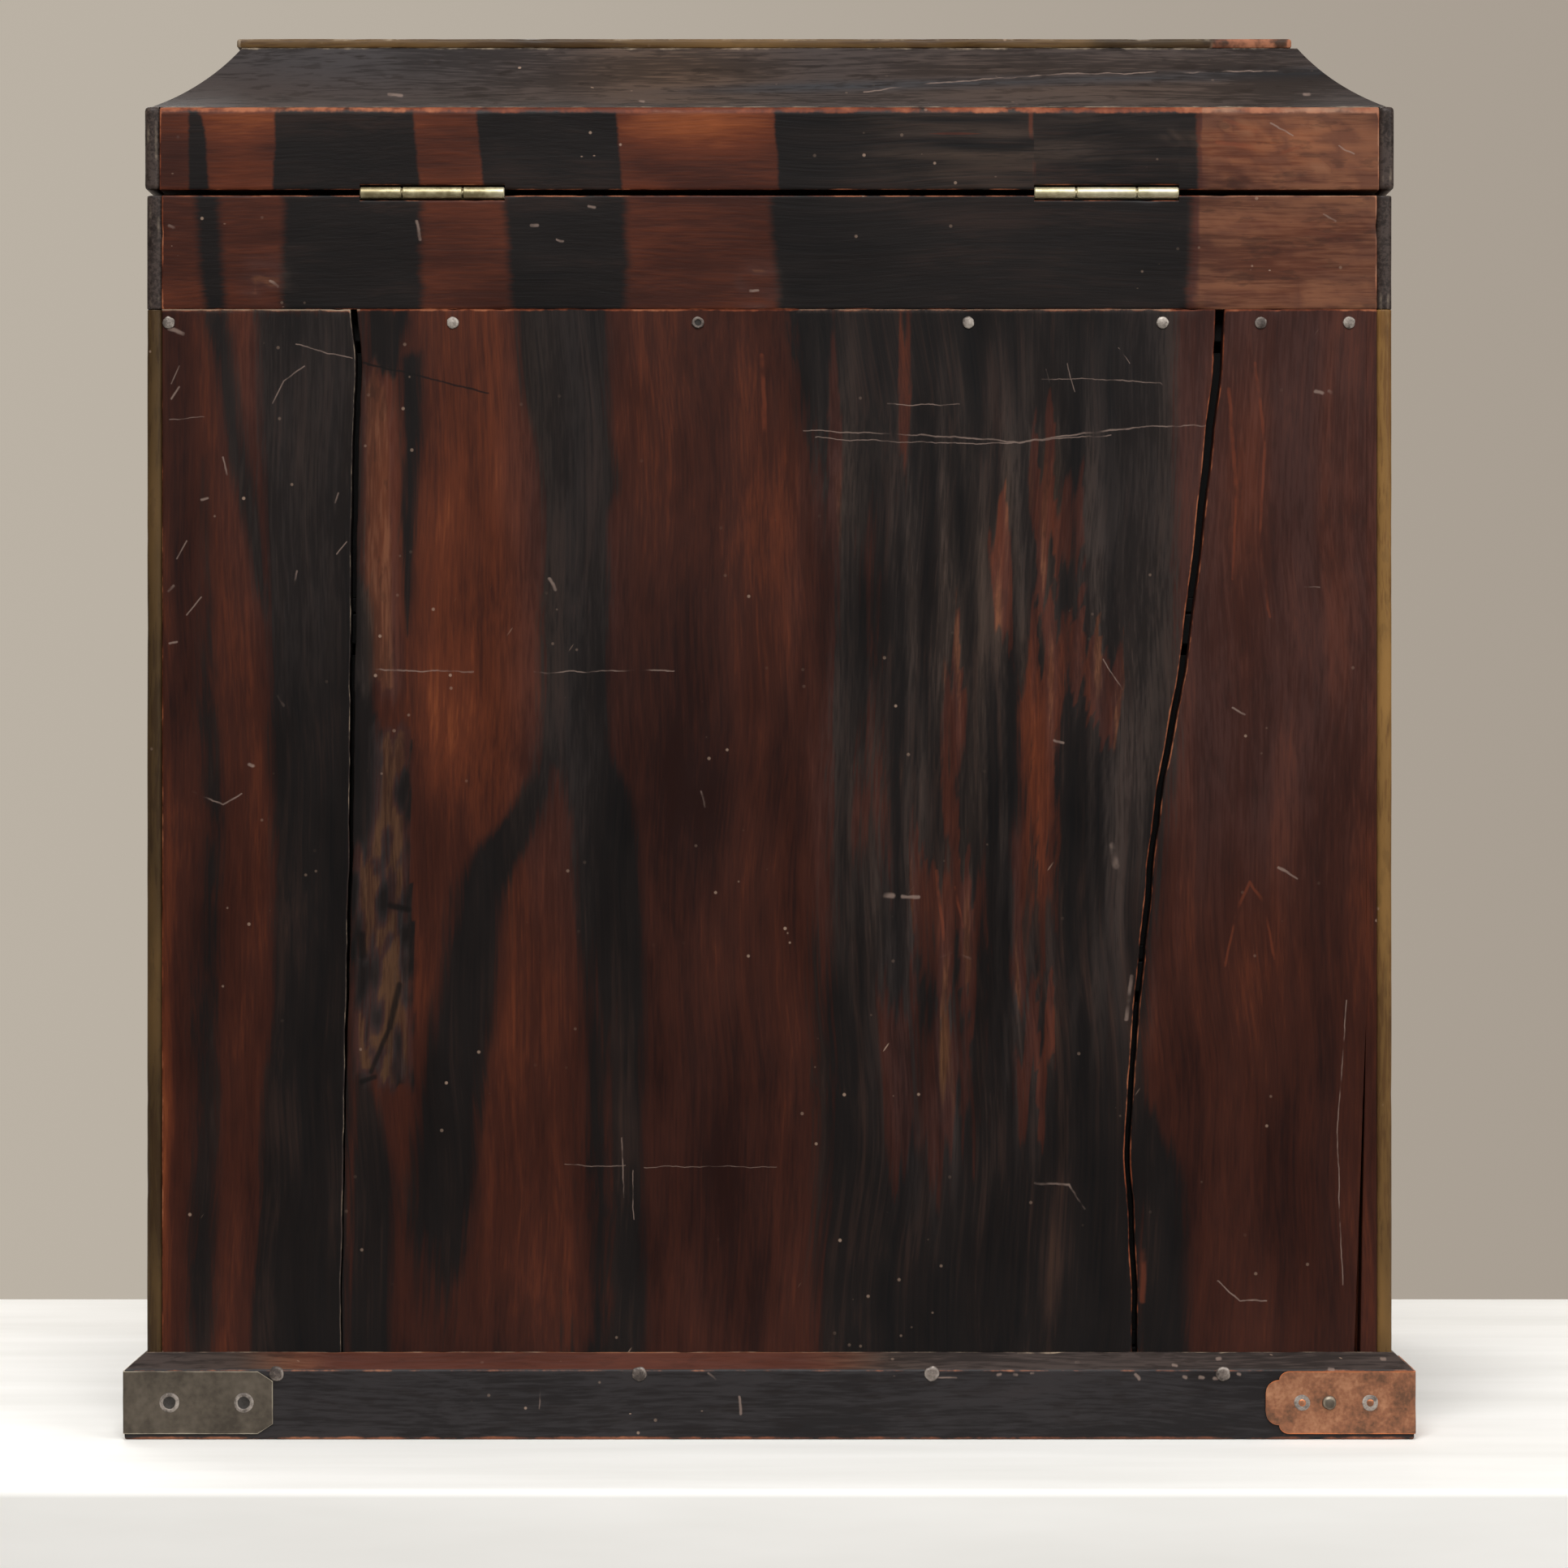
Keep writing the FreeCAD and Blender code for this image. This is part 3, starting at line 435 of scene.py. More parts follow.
# Rough wood beside the first crack: reddish above, worm-eaten below
ROUGH_STRIP = (((196, -110), (284, -110)), ((196, -95), (230, -96), (284, -98)))
WORM_PATCH = (((94, -110), (190, -110)), ((94, -93.5), (190, -93.5)))
TRAY_BANDS = (
    (((297, -149), (327, -151.5)), ((297, -143), (327, -145.3))),
    (((297, -128.7), (327, -128)), ((297, -91.3), (327, -92))),
    (((297, -68), (327, -70)), ((297, -37.6), (327, -37.6))),
    (((297, 2.5), (327, 0)), ((297, 110.3), (327, 111.6))),
)
LID_BANDS = (
    (((328, -153), (351, -153)), ((328, -147.5), (345, -148.5), (351, -151.5))),
    (((328, -131), (351, -130)), ((328, -92), (351, -94))),
    (((328, -75), (351, -77.5)), ((328, -38.7), (351, -40.5))),
    (((328, 2.5), (351, 1)), ((328, 113), (351, 112.5))),
)

# Patches from here on are (amount, centre, half width, half height)
# Lighter streaks inside dark bands
LIGHT_IN_DARK = (
    (15, (61.7, 230), 3.4, 20), (16, (74.5, 245), 3.4, 20), (11, (80.5, 233), 3.2, 15),
    (16, (70.5, 184), 5.5, 30), (16, (84, 199), 9.5, 12), (11, (70.5, 146), 5.5, 24),
    (15, (72, 101), 6.5, 13), (14, (47, 140), 11, 19), (8, (38, 90), 10, 27), (9, (50, 101), 11, 18),
    (10, (36, 272), 1.8, 22), (12, (48.5, 184), 3, 26), (8, (17, 262), 2.5, 30), (5, (12, 190), 8, 60),
    (7, (27, 190), 5, 50), (6, (-47, 75), 8, 60),
)
# Warmer and colder brown
BACK_WARMTH = (
    (0.75, (-80, 235), 24, 90), (0.5, (-80, 190), 14, 24), (0.45, (-66, 100), 12, 60),
    (0.55, (-92, 120), 5, 30), (0.3, (-86, 45), 12, 40), (-0.25, (-15, 150), 30, 170),
    (-0.45, (-30, 215), 10, 36), (-0.35, (-22, 165), 12, 26), (0.6, (125, 250), 7, 36),
    (-0.3, (139, 235), 9, 60), (0.5, (151, 240), 6, 50), (-0.35, (125, 170), 16, 30),
    (0.4, (129, 128), 7, 22), (-0.5, (-155, 240), 7, 60), (0.3, (-138, 150), 6, 60),
    (0.4, (61.7, 230), 4, 24), (0.75, (74.5, 243), 4, 24), (0.35, (70, 185), 5, 40),
    (-0.3, (135, 70), 30, 80), (0.5, (-36, 270), 6, 22), (-0.4, (-80, 10), 40, 20),
    (1.3, (-159, 90), 2.2, 95), (0.6, (-159, 230), 1.8, 60), (0.5, (159, 240), 2, 60),
    (0.25, (72, 101), 8, 14), (0.4, (5, 245), 6, 50), (-0.3, (-10, 60), 30, 60),
    (0.2, (45, 200), 50, 90), (0.7, (-102, 248), 7, 40), (-0.5, (42, 95), 18, 40),
    (0.25, (133, 190), 30, 110), (0.5, (70.5, 184), 7, 36),
)
LID_WARMTH = (
    (0.45, (-141, 340), 9, 18), (1.3, (-18, 346), 26, 9), (0.6, (126, 342), 16, 9),
    (-0.4, (-15, 331), 20, 5), (-0.4, (-157, 340), 6, 16), (0.3, (-18, 341), 24, 12),
)
# Where bands fade into each other along the grain
SOFT_EDGES = (
    (1.0, (-80, 120), 25, 60), (1.8, (-87, 30), 14, 40), (1.8, (8, 150), 26, 190),
    (1.8, (60, 160), 60, 170), (1.8, (-46, 70), 12, 80), (1.8, (-150, 150), 9, 120),
)
# Grey bloom in streaks, and painted sheen: an even grey haze high on the back
VEILS = (
    (0.8, (44, 215), 17, 56), (0.6, (18, 210), 12, 80), (0.6, (45, 98), 18, 44),
    (0.4, (95, 230), 12, 60), (0.55, (47, 140), 11, 20), (0.6, (84, 199), 11, 16),
)
SHEEN_HAZES = ((0.34, (128, 235), 40, 90), (0.2, (-54, 230), 16, 90), (0.22, (-124, 260), 18, 60))
# Rubbed places on the tray and the lid
TRAY_RUBS = (
    (0.75, (140, 303), 26, 9), (0.9, (-3, 303), 6, 7), (0.7, (-133, 304), 7, 8),
    (0.7, (150, 316), 6, 12),
)
LID_FLAKES = (
    (1.05, (123, 344), 9, 5), (0.95, (108, 342.5), 7, 2), (0.95, (146, 345), 6, 4),
    (0.95, (145, 334), 4, 4),
)
# The middle of the widest band, where the figure is most streaked: centre, half width, half height
STREAKED = ((50, 150), 60, 160)


def plain_figure(places, grain, seed, wear):
    """Banded wood of no special pattern, running along the grain."""
    drift = wander(grain, (420, 34, 34), seed)
    fine = wander(grain, (160, 9, 9), seed + 4)
    return {
        "dark": (drift * 1.5 + fine * 0.45 - 0.12) * 16,
        "soft": 1.6,
        "warm": wander(grain, (300, 22, 22), seed + 9) * 0.9,
        "grey": 0.0,
        "streak": 0.8,
        "wear": wear * 0.6,
    }


def repaint(figure, where, **values):
    """Change some of a figure's numbers at the places that are chosen."""
    for name, value in values.items():
        figure[name] = np.where(where, value, figure[name])


def back_darkness(places, across, streaks, ragged, worm_eaten):
    """How far each place is inside the back's dark bands, in millimetres."""
    height = places[:, 2]
    torn = frayed(places, 33, (26, 1.7), (10, 6))
    shifted = across + 4 * wander(places, (9, 9, 50), 35)
    stains = 5.5 * wander(places, (4.5, 4.5, 22), 12) + 4.5 * wander(places, (1.8, 1.8, 6), 13) - 1.5
    inside = [band(across, height, *edges) for edges in BACK_BANDS]
    inside += [band(across, np.minimum(ragged, height + 6), *edges) for edges in RAGGED_BANDS]
    inside.append(0.9 * band(across, ragged, *EDGE_STREAK) - 1)
    inside.append(np.minimum(band(across, height, *FORKED_BAND), -band(across, height, *FORK_ISLAND)))
    inside.append(np.where(worm_eaten > 0, stains, FAR_OUTSIDE))
    dark = np.clip(np.maximum.reduce(inside), FAR_OUTSIDE, 7)
    dark -= 6 * np.clip(streaks - 0.1, 0, 1) * spot(across, height, *STREAKED)
    for amount, centre, half_width, half_height in LIGHT_IN_DARK:
        ends = np.clip(2 * (1.15 - np.abs(torn - centre[1]) / half_height), 0, 1)
        sides = np.clip(2 * (1.15 - np.abs(shifted - centre[0]) / half_width), 0, 1)
        dark -= amount * ends * sides * np.clip(0.95 + 0.8 * streaks, 0.4, 1.3)
    # The fork's outer leg fades into brown at its foot
    leg_middle, fade_start, fade_length = -87, 68, 40
    faded = np.clip((fade_start - ragged) / fade_length, 0, 1)
    return dark - 9 * faded * np.clip(1.5 - np.abs(across - leg_middle) / 10, 0, 1)


def back_bloom_and_sheen(across, height, streaks, ragged, dark, worm_eaten):
    """Grey bloom on the back, painted sheen as a grey haze high on it, and paler wear along the boards'
    upper edges.
    """
    grey = 0.52 * worm_eaten * np.clip(0.7 - dark / 4, 0, 1)
    grey = np.maximum(grey, 0.57 * np.clip(band(across, ragged, *ROUGH_STRIP) / 4, 0, 1))
    grey = strongest_patch(grey, np.clip(0.4 + 1.2 * streaks, 0, 1), across, ragged, VEILS)
    # Painted sheen: an even grey haze high on the back, where light from above is reflected
    for amount, *patch in SHEEN_HAZES:
        grey = np.maximum(grey, amount * np.clip(2 * spot(across, height, *patch), 0, 1))
    veil = np.clip(2 * spot(across, ragged, (64, 185), 46, 95), 0, 1)
    grey = np.maximum(grey, 0.4 * veil * np.clip(0.45 + 2.4 * streaks, 0, 1.4))
    top = height > TRAY_LOW.z - 0.7
    first_crack, wide_start, wide_end = -108, 8, 106
    pale = [top & (across < first_crack), top & (across > wide_start) & (across < wide_end)]
    return np.select(pale, [0.8, 0.7], grey)


def back_figure(places, grain, seed, wear):
    """The back boards' bands, as the photograph shows them."""
    height = places[:, 2]
    across = -places[:, 0] + 1.1 * wander(places, (12, 12, 30), 3)
    streaks = 0.7 * wander(places, (2.2, 2.2, 45), 21) + 0.5 * wander(places, (6, 6, 90), 22)
    ragged = frayed(places, 31, (8, 2.4), (5, 7))
    worm_eaten = np.clip(band(across, ragged, *WORM_PATCH) / 2.5, 0, 1)
    dark = back_darkness(places, across, streaks, ragged, worm_eaten)
    warm = 0.3 * wander(grain, (220, 18, 18), 5) + 0.2 * streaks + patches(across, ragged, BACK_WARMTH)
    warm -= 0.5 * worm_eaten + 0.5 * np.clip((14 - height) / 14, 0, 1)
    grey = back_bloom_and_sheen(across, height, streaks, ragged, dark, worm_eaten)
    on_right_board = places[:, 0].max() > 150
    if on_right_board:
        beside_crack = (wear > 0.3) & (across > -114)
        grey = np.where(beside_crack, 0.9, grey)
    return {
        "dark": dark,
        "soft": np.minimum(1.7 + patches(across, height, SOFT_EDGES), 3.6),
        "warm": warm,
        "grey": grey,
        "streak": 0.55 + 0.35 * spot(across, height, *STREAKED),
        "wear": wear,
    }


def crossed_figure(places, bands, softness, seed):
    """Bands that cross a horizontal board, as on the back of the tray and lid."""
    across = -places[:, 0] + 0.25 * wander(places, (9, 9, 9), seed)
    inside = [between(across, places[:, 2], *edges) for edges in bands]
    return {
        "dark": np.clip(np.maximum.reduce(inside), FAR_OUTSIDE, 14),
        "soft": softness,
        "warm": 0.45 * wander(places, (60, 20, 5), seed + 2),
        "streak": 0.32,
    }


def brown_end(across, dark):
    """1 on the brown wood at the picture's right end of tray and lid, 0 elsewhere."""
    return np.clip((across - 100) / 6, 0, 1) * np.clip(-dark / 1.5, 0, 1)


def tray_figure(places, grain, seed, wear):
    """The back of the tray, rubbed in places, duller at one end, and painted brighter as if lit more from
    above.
    """
    figure = crossed_figure(places, TRAY_BANDS, 1.5, seed)
    across, height = -places[:, 0], places[:, 2]
    # The 0.3 is painted light: the tray brighter than the back boards, as if lit more strongly from above
    figure["warm"] += 0.3 + 0.5 * spot(across, height, (137, 313), 25, 18)
    rubs = 0.5 + 1.3 * wander(places, (7, 7, 2), 7) + 0.8 * wander(places, (2.5, 2.5, 2.5), 8)
    rubs = np.clip(rubs, 0, 1)
    dull = (0.5 + 0.1 * rubs) * brown_end(across, figure["dark"])
    figure["grey"] = strongest_patch(dull, rubs, across, height, TRAY_RUBS)
    figure["wear"] = wear * np.where(height > TRAY_HIGH.z - 1, 1.0, 0.8)
    return figure


def lid_figure(places, grain, seed, wear):
    """The back of the lid, with light streaks in its widest band, flaked at one end, and painted brighter as
    if lit more from above.
    """
    figure = crossed_figure(places, LID_BANDS, 0.5, seed)
    across, height = -places[:, 0], places[:, 2]
    rubs = 0.35 + 1.3 * wander(places, (9, 9, 2), 4) + 0.8 * wander(places, (2.5, 2.5, 2), 5)
    rubs = np.clip(rubs, 0, 1)
    # The 0.5 is painted light: the lid brighter than the back boards, as if lit more strongly from above
    figure["warm"] += 0.5 + patches(across, height, LID_WARMTH)
    figure["warm"] += 1.1 * rubs * spot(across, height, (132, 341), 24, 10)
    flakes = np.clip(0.3 + 1.9 * wander(places, (4, 4, 1.6), 14), 0, 1)
    dull = (0.5 + 0.12 * rubs) * brown_end(across, figure["dark"])
    dull = np.maximum(dull, 0.8 * rubs * spot(across, height, (130, 343), 18, 7))
    streaks = wander(places, (40, 40, 1.6), seed + 6)
    lighter = np.clip(streaks - 0.05, 0, 1) * spot(across, height, (58, 340), 50, 10)
    figure["dark"] -= 40 * lighter * np.clip(figure["dark"] / 6, 0, 1)
    figure["grey"] = strongest_patch(dull, flakes, across, height, LID_FLAKES)
    figure["grey"] += np.clip(0.25 + 1.2 * streaks, 0, 0.5) * spot(across, height, (62, 340), 48, 12)
    figure["streak"] += 0.5 * spot(across, height, (62, 340), 48, 14)
    top_edge = height > LID_HIGH.z - 2.5
    figure["wear"] = wear * np.where(top_edge, np.interp(across, (-100, -20), (1.1, 1.5)), 0.8)
    return figure


def cove_figure(places, grain, seed, wear):
    """Dark wood under a grey that is partly dull bloom and partly painted sheen of the light from above,
    with a painted highlight line across it, bluish at one end and browner in the middle, and banded wood
    inside.
    """
    across, height = -places[:, 0], places[:, 2]
    inward = np.minimum(LID_OUTER.x - np.abs(places[:, 0]), LID_OUTER.y - np.abs(places[:, 1]))
    hidden = (inward > COVE_HEAD + 1) & (height < COVE_HIGH.z + 0.3)
    hidden |= (inward > HIDDEN_FOOT - 0.5) & (height < COVE_LOW.z + 0.3)
    bluish = spot(across, height, (-120, 368), 60, 14)
    brown = spot(across, height, (-22, 362), 28, 14) + 0.6 * spot(across, height, (90, 358), 60, 10)
    # A painted highlight: a thin bluish sheen line across the cove
    sheen_height = 356 + 0.035 * (across + 25)
    sheen = np.exp(-((height - sheen_height) / 1.4) ** 2) * np.clip((across + 40) / 40, 0, 1)
    figure = {
        "dark": 8.0,
        "soft": 2.0,
        "warm": 0.3 * wander(grain, (70, 30, 30), seed + 9) - 0.5 * bluish + 0.5 * brown - 0.9 * sheen,
        # Painted sheen: this grey stands partly for light from above reflected by the cove, partly for bloom
        "grey": 0.85 + 0.2 * wander(grain, (60, 25, 25), seed + 3),
        "streak": 0.12,
        "wear": wear * 0.62,
    }
    repaint(figure, hidden, **plain_figure(places, grain, seed, wear))
    return figure


def top_figure(places, grain, seed, wear):
    """The top panel: the cove's bloom and painted sheen on its faces, olive gold along its edges, chipped at
    one end.
    """
    figure = cove_figure(places, grain, seed, wear)
    low, high = span("lid_top_panel")
    edge = np.minimum(np.minimum(places[:, 0] - low.x, high.x - places[:, 0]),
                      np.minimum(places[:, 1] - low.y, high.y - places[:, 1])) < 0.5
    dulled_from, chipped_from = 88, 118
    repaint(figure, edge, dark=-8.0, grey=1.5, warm=-0.2)
    repaint(figure, edge & (-places[:, 0] > dulled_from), warm=-1.0)
    repaint(figure, edge & (-places[:, 0] > chipped_from), grey=0.5, wear=np.maximum(wear, 0.7))
    return figure


def plinth_figure(places, grain, seed, wear):
    """Nearly black rails greyed by painted sheen, with a browner moulding along the top and a painted
    highlight line where it meets the back boards.
    """
    figure = plain_figure(places, grain, seed, wear)
    moulding = places[:, 2] > BEVEL_FOOT + 0.2
    inward = np.minimum(PLINTH_HIGH.x - np.abs(places[:, 0]), PLINTH_HIGH.y - np.abs(places[:, 1]))
    joint = moulding & (np.abs(inward - (PLINTH_HIGH.y - BACK)) < 0.5)
    brownest = np.where(places[:, 1] > 0, 53, 0)
    brown = np.where(moulding, np.clip(1.9 - np.abs(places[:, 0] - brownest) / 60, 0.2, 1), 0)
    rubbed_foot = np.where(places[:, 2] < 4, 1.15, 0.7)
    figure["dark"] = figure["dark"] * 0.25 + 9 - 15 * brown
    # The rails' grey of 0.5 is painted sheen
    figure.update(soft=3.0, grey=0.5, warm=-0.6, streak=0.1, wear=wear * rubbed_foot)
    repaint(figure, moulding, grey=1.0 - 0.65 * brown, warm=0.8 * brown - 0.1)
    # A painted highlight: a pale line along the top of the moulding, where it meets the back boards
    repaint(figure, joint, grey=0.8, wear=0.6)
    return figure


def strip_figure(places, grain, seed, wear):
    """Olive-gold beads on the back edges of the sides, with painted light on those below the tray, banded
    wood on their faces.
    """
    figure = plain_figure(places, grain, seed, wear)
    on_bead = np.abs(places[:, 1]) > BACK - 1.2
    above = places[:, 2] > TRAY_LOW.z
    on_left = places[:, 0].max() < 0
    # Painted light: the left side's back bead grows warmer and brighter towards the top, as if lit from
    # above; the other beads are painted darker
    bright = np.interp(places[:, 2], (0, 130, 300), (-0.3, 0.5, 1.0)) if on_left else -0.9
    bright = np.where(places[:, 1] < 0, -1.0, bright)
    repaint(figure, on_bead & above, dark=8, grey=1.0, warm=0.1, streak=0.3, wear=wear * 0.55)
    repaint(figure, on_bead & ~above, dark=-8, grey=1.5, warm=bright, streak=0.3, wear=wear * 0.35)
    return figure


GRAIN_AXES = {"x": (0, 1, 2), "y": (1, 0, 2), "z": (2, 0, 1)}


def paint(piece, figure, grain_axis, seed):
    """Write a figure's numbers and the grain's own coordinates to a piece."""
    mesh = piece.data
    count = len(mesh.vertices)
    places = np.empty(count * 3)
    mesh.vertices.foreach_get("co", places)
    places = places.reshape(-1, 3) / MM
    wear = np.empty(count)
    mesh.attributes["wear"].data.foreach_get("value", wear)
    grain = places[:, GRAIN_AXES[grain_axis]] + np.array((seed * 131.0, seed * 17.0, seed * 29.0))
    write_attribute(mesh, "grain", grain, "FLOAT_VECTOR")
    for name, values in figure(places, grain, seed, wear).items():
        write_attribute(mesh, name, np.broadcast_to(values, count))


# Materials


def screen(red, green, blue):
    """A linear colour from one that is given as screen values up to 255."""
    def linear(value):
        value /= 255
        return value / 12.92 if value <= 0.04045 else ((value + 0.055) / 1.055) ** 2.4

    return (linear(red), linear(green), linear(blue), 1.0)


class Nodes:
    """A node tree, with short ways to add nodes."""

    def __init__(self, tree):
        self.tree = tree

    def put(self, socket, value):
        """Link an output to a socket, or set the socket."""
        if isinstance(value, bpy.types.NodeSocket):
            self.tree.links.new(value, socket)
        else:
            socket.default_value = value

    def add(self, kind, *values, **settings):
        """A node with its settings and first inputs."""
        node = self.tree.nodes.new(kind)
        for key, setting in settings.items():
            setattr(node, key, setting)
        for socket, value in zip(node.inputs, values):
            self.put(socket, value)
        return node

    def named(self, kind, output, **inputs):
        """An output of a node whose inputs are given by name."""
        node = self.tree.nodes.new(kind)
        for name, value in inputs.items():
            self.put(node.inputs[name], value)
        return node.outputs[output]

    def math(self, operation, *values, clamp=False):
        return self.add("ShaderNodeMath", *values, operation=operation, use_clamp=clamp).outputs[0]

    def vector_math(self, operation, *values, output="Vector"):
        return self.add("ShaderNodeVectorMath", *values, operation=operation).outputs[output]

    def total(self, *values):
        """A sum of values, where a pair is a value and its weight."""
        result = None
        for value in values:
            if isinstance(value, tuple):
                value = self.math("MULTIPLY", *value)
            result = value if result is None else self.math("ADD", result, value)
        return result

    def step(self, value, low, high, start=0.0, end=1.0):
        """A smooth step from start to end as the value goes from low to high."""
        node = self.add("ShaderNodeMapRange", value, low, high, start, end, interpolation_type="SMOOTHSTEP")
        return node.outputs[0]

    def attribute(self, name, output="Fac"):
        return self.add("ShaderNodeAttribute", attribute_name=name).outputs[output]

    def place(self, output="Object"):
        return self.add("ShaderNodeTexCoord").outputs[output]

    def parts(self, vector):
        """A vector's parts, by the names of its axes."""
        return self.add("ShaderNodeSeparateXYZ", vector).outputs

    def noise(self, vector, scale, detail=2.0, roughness=0.55, distortion=0.0):
        """Noise from about 0.2 to 0.8. A scale of three numbers stretches it."""
        if isinstance(scale, tuple):
            vector = self.vector_math("MULTIPLY", vector, scale)
            scale = 1.0
        return self.named("ShaderNodeTexNoise", "Fac", Vector=vector, Scale=scale, Detail=detail,
                          Roughness=roughness, Distortion=distortion)

    def cells(self, vector, scale):
        """Distance to the nearest of scattered points."""
        return self.named("ShaderNodeTexVoronoi", "Distance", Vector=vector, Scale=scale)

    def turned(self, vector, angle):
        """A vector turned about its third axis."""
        node = self.add("ShaderNodeVectorRotate", vector, rotation_type="Z_AXIS")
        node.inputs["Angle"].default_value = angle
        return node.outputs[0]

    def mix(self, factor, first, second):
        """Two colours mixed by a factor."""
        node = self.add("ShaderNodeMix", data_type="RGBA")
        self.put(node.inputs["Factor"], factor)
        for socket, value in zip([s for s in node.inputs if s.type == "RGBA"], (first, second)):
            self.put(socket, value)
        return next(s for s in node.outputs if s.type == "RGBA")

    def ramp(self, value, stops):
        """A colour ramp through (position, screen colour) stops."""
        node = self.add("ShaderNodeValToRGB", value)
        elements = node.color_ramp.elements
        while len(elements) < len(stops):
            elements.new(0.5)
        for element, (position, colour) in zip(elements, stops):
            element.position = position
            element.color = screen(*colour)
        return node.outputs["Color"]

    def bump(self, height, strength, distance):
        return self.named("ShaderNodeBump", "Normal", Strength=strength, Distance=distance, Height=height)


class Material(Nodes):
    """A new material and its node tree."""

    def __init__(self, name):
        self.material = bpy.data.materials.new(name)
        self.material.use_nodes = True
        super().__init__(self.material.node_tree)

    def finish(self, **inputs):
        """Set the shader's inputs by name, with underscores for spaces."""
        shader = self.tree.nodes["Principled BSDF"]
        for name, value in inputs.items():
            self.put(shader.inputs[name.replace("_", " ")], value)
        return self.material


# Scratches on the back, and a painted sheen line on the cove, as lines of a width and points (across,
# height), in millimetres
SCRATCHES_AND_SHEEN_LINE = (
    # Back boards
    (0.2, (9, 265), (40, 264)), (0.25, (40, 264), (66, 262), (96, 266)), (0.2, (96, 266), (116, 266.5)),
    (0.16, (12, 263), (58, 261.5), (90, 264)), (0.14, (71.8, 278.7), (85.4, 278.9)),
    (0.18, (85.4, 278.9), (103, 277.6), (107, 274.2)), (0.16, (31, 272), (50, 272)),
    (0.2, (-131, 272), (-128, 278), (-122.5, 282)), (0.2, (-124.6, 288), (-110, 284)),
    (0.22, (-105, 202), (-78, 201.5)), (0.2, (-62, 201.5), (-25, 202)),
    (0.14, (73, 281.5), (74.2, 276.5)), (0.14, (78.6, 283), (80.3, 275)), (0.14, (92, 287), (95, 283)),
    (0.18, (-38.8, 79), (-38.4, 63)), (0.15, (-36, 70), (-35.8, 57)), (0.12, (-54, 71.7), (-38, 71.4)),
    (0.1, (-33, 71), (2, 71.3)), (0.22, (118, 41), (124, 36), (131, 36)),
    (0.18, (152, 115), (149.5, 80), (151, 40)), (0.8, (30.4, 142.6), (32.4, 142.4)),
    (0.5, (35, 142.4), (39.5, 142.5)), (0.15, (-158, 268), (-149, 268.5)),
    (0.6, (-158, 292), (-154.5, 290.5)), (0.5, (-160, 289.5), (-158.8, 288.3)),
    (0.2, (-157.5, 277.5), (-155.5, 282)), (0.3, (-157.5, 273.5), (-155.5, 276.5)),
    (0.26, (-144, 258), (-142.8, 253.5)), (0.4, (-149.5, 247), (-148, 247.3)),
    (0.22, (-156, 231.5), (-153.5, 236)), (0.22, (-149.5, 221.5), (-153.5, 216.5)),
    (0.4, (-158.5, 222.5), (-157, 224)), (0.35, (-158, 209), (-156, 209.6)),
    (0.2, (-114, 232.5), (-111.5, 235.5)), (0.3, (-124.5, 228), (-125.2, 224.5)),
    (0.25, (-113.6, 248.5), (-114.4, 246)), (0.4, (-130, 196), (-128, 192.5)),
    (0.6, (-137, 177), (-136.3, 176.6)), (0.25, (-152, 170), (-144, 166.5), (-139, 169.5)),
    (0.5, (-58, 226), (-56.5, 223)), (0.35, (122, 192), (125, 190)), (0.3, (134, 150), (139, 147)),
    (0.3, (-18, 170), (-17, 166)), (0.2, (88, 205), (93, 197)),
    (0.4, (45, 126.5), (49, 127.5), (53, 126)), (0.6, (144, 275.6), (145.6, 275)),
    (0.5, (147.4, 275.4), (148.4, 274.8)), (0.4, (75, 183.4), (77.4, 182.8)),
    (1.0, (90.3, 155.5), (91.3, 150.5)), (0.6, (95.3, 121), (94, 110)), (0.35, (70, 67), (79, 66.5)),
    (0.3, (79, 66.5), (83, 60)), (0.2, (141, 224), (145, 224)),
    # Plinth
    (0.5, (96, 17), (97, 16)), (0.4, (59.9, 17), (60.6, 17.1)), (0.4, (64.3, 17.3), (65, 17.2)),
    (0.35, (68.6, 17.3), (69.2, 17.4)), (0.45, (80.6, 20), (81.2, 20.1)),
    (0.5, (108.7, 16.5), (109.3, 16.4)), (0.5, (116.7, 16.1), (117.5, 16)),
    (0.5, (117.6, 20.5), (118.4, 20.6)), (0.4, (122.9, 17.3), (123.5, 17.2)),
    (0.5, (161, 20.9), (161.8, 20.8)), (0.4, (106, 19.5), (107, 19.4)),
    (0.5, (113, 16.5), (113.8, 16.3)), (0.6, (138, 17.5), (139, 17.6)), (0.5, (141, 14), (141.8, 14.1)),
    (0.5, (147, 18.6), (148, 18.5)), (0.3, (44, 16.6), (49, 16.2)), (0.2, (-60, 14), (-60.4, 8)),
    (0.4, (-8, 11), (-7.4, 7)), (0.3, (-16, 17.5), (-14, 15.5)),
    # Tray and lid
    (0.6, (-158, 319), (-157, 318.6)), (0.5, (-62.5, 319.5), (-61, 319.3)),
    (0.3, (-56, 315.5), (-54.3, 315)), (0.45, (-47.5, 324.3), (-46, 324)),
    (0.5, (-93, 320), (-92, 315.5)), (0.4, (-131.5, 304.5), (-129.5, 303)), (0.4, (-5, 302), (-3, 302)),
    (0.5, (-157, 339), (-156, 342)), (0.3, (146, 322), (149, 320)), (0.25, (132, 346), (138, 343)),
    (0.25, (150, 340), (154, 338)),
    # Cove
    (0.6, (-101, 354.9), (-97.5, 354.7)), (0.5, (-34.2, 352.6), (-33.4, 352.4)),
    (0.6, (142, 355), (143, 354.8)),
    # A painted highlight: the thin pale sheen line across the cove
    (0.22, (25, 355.6), (44.6, 358.8), (77, 361.5), (112, 362.2), (145, 362.5)),
)
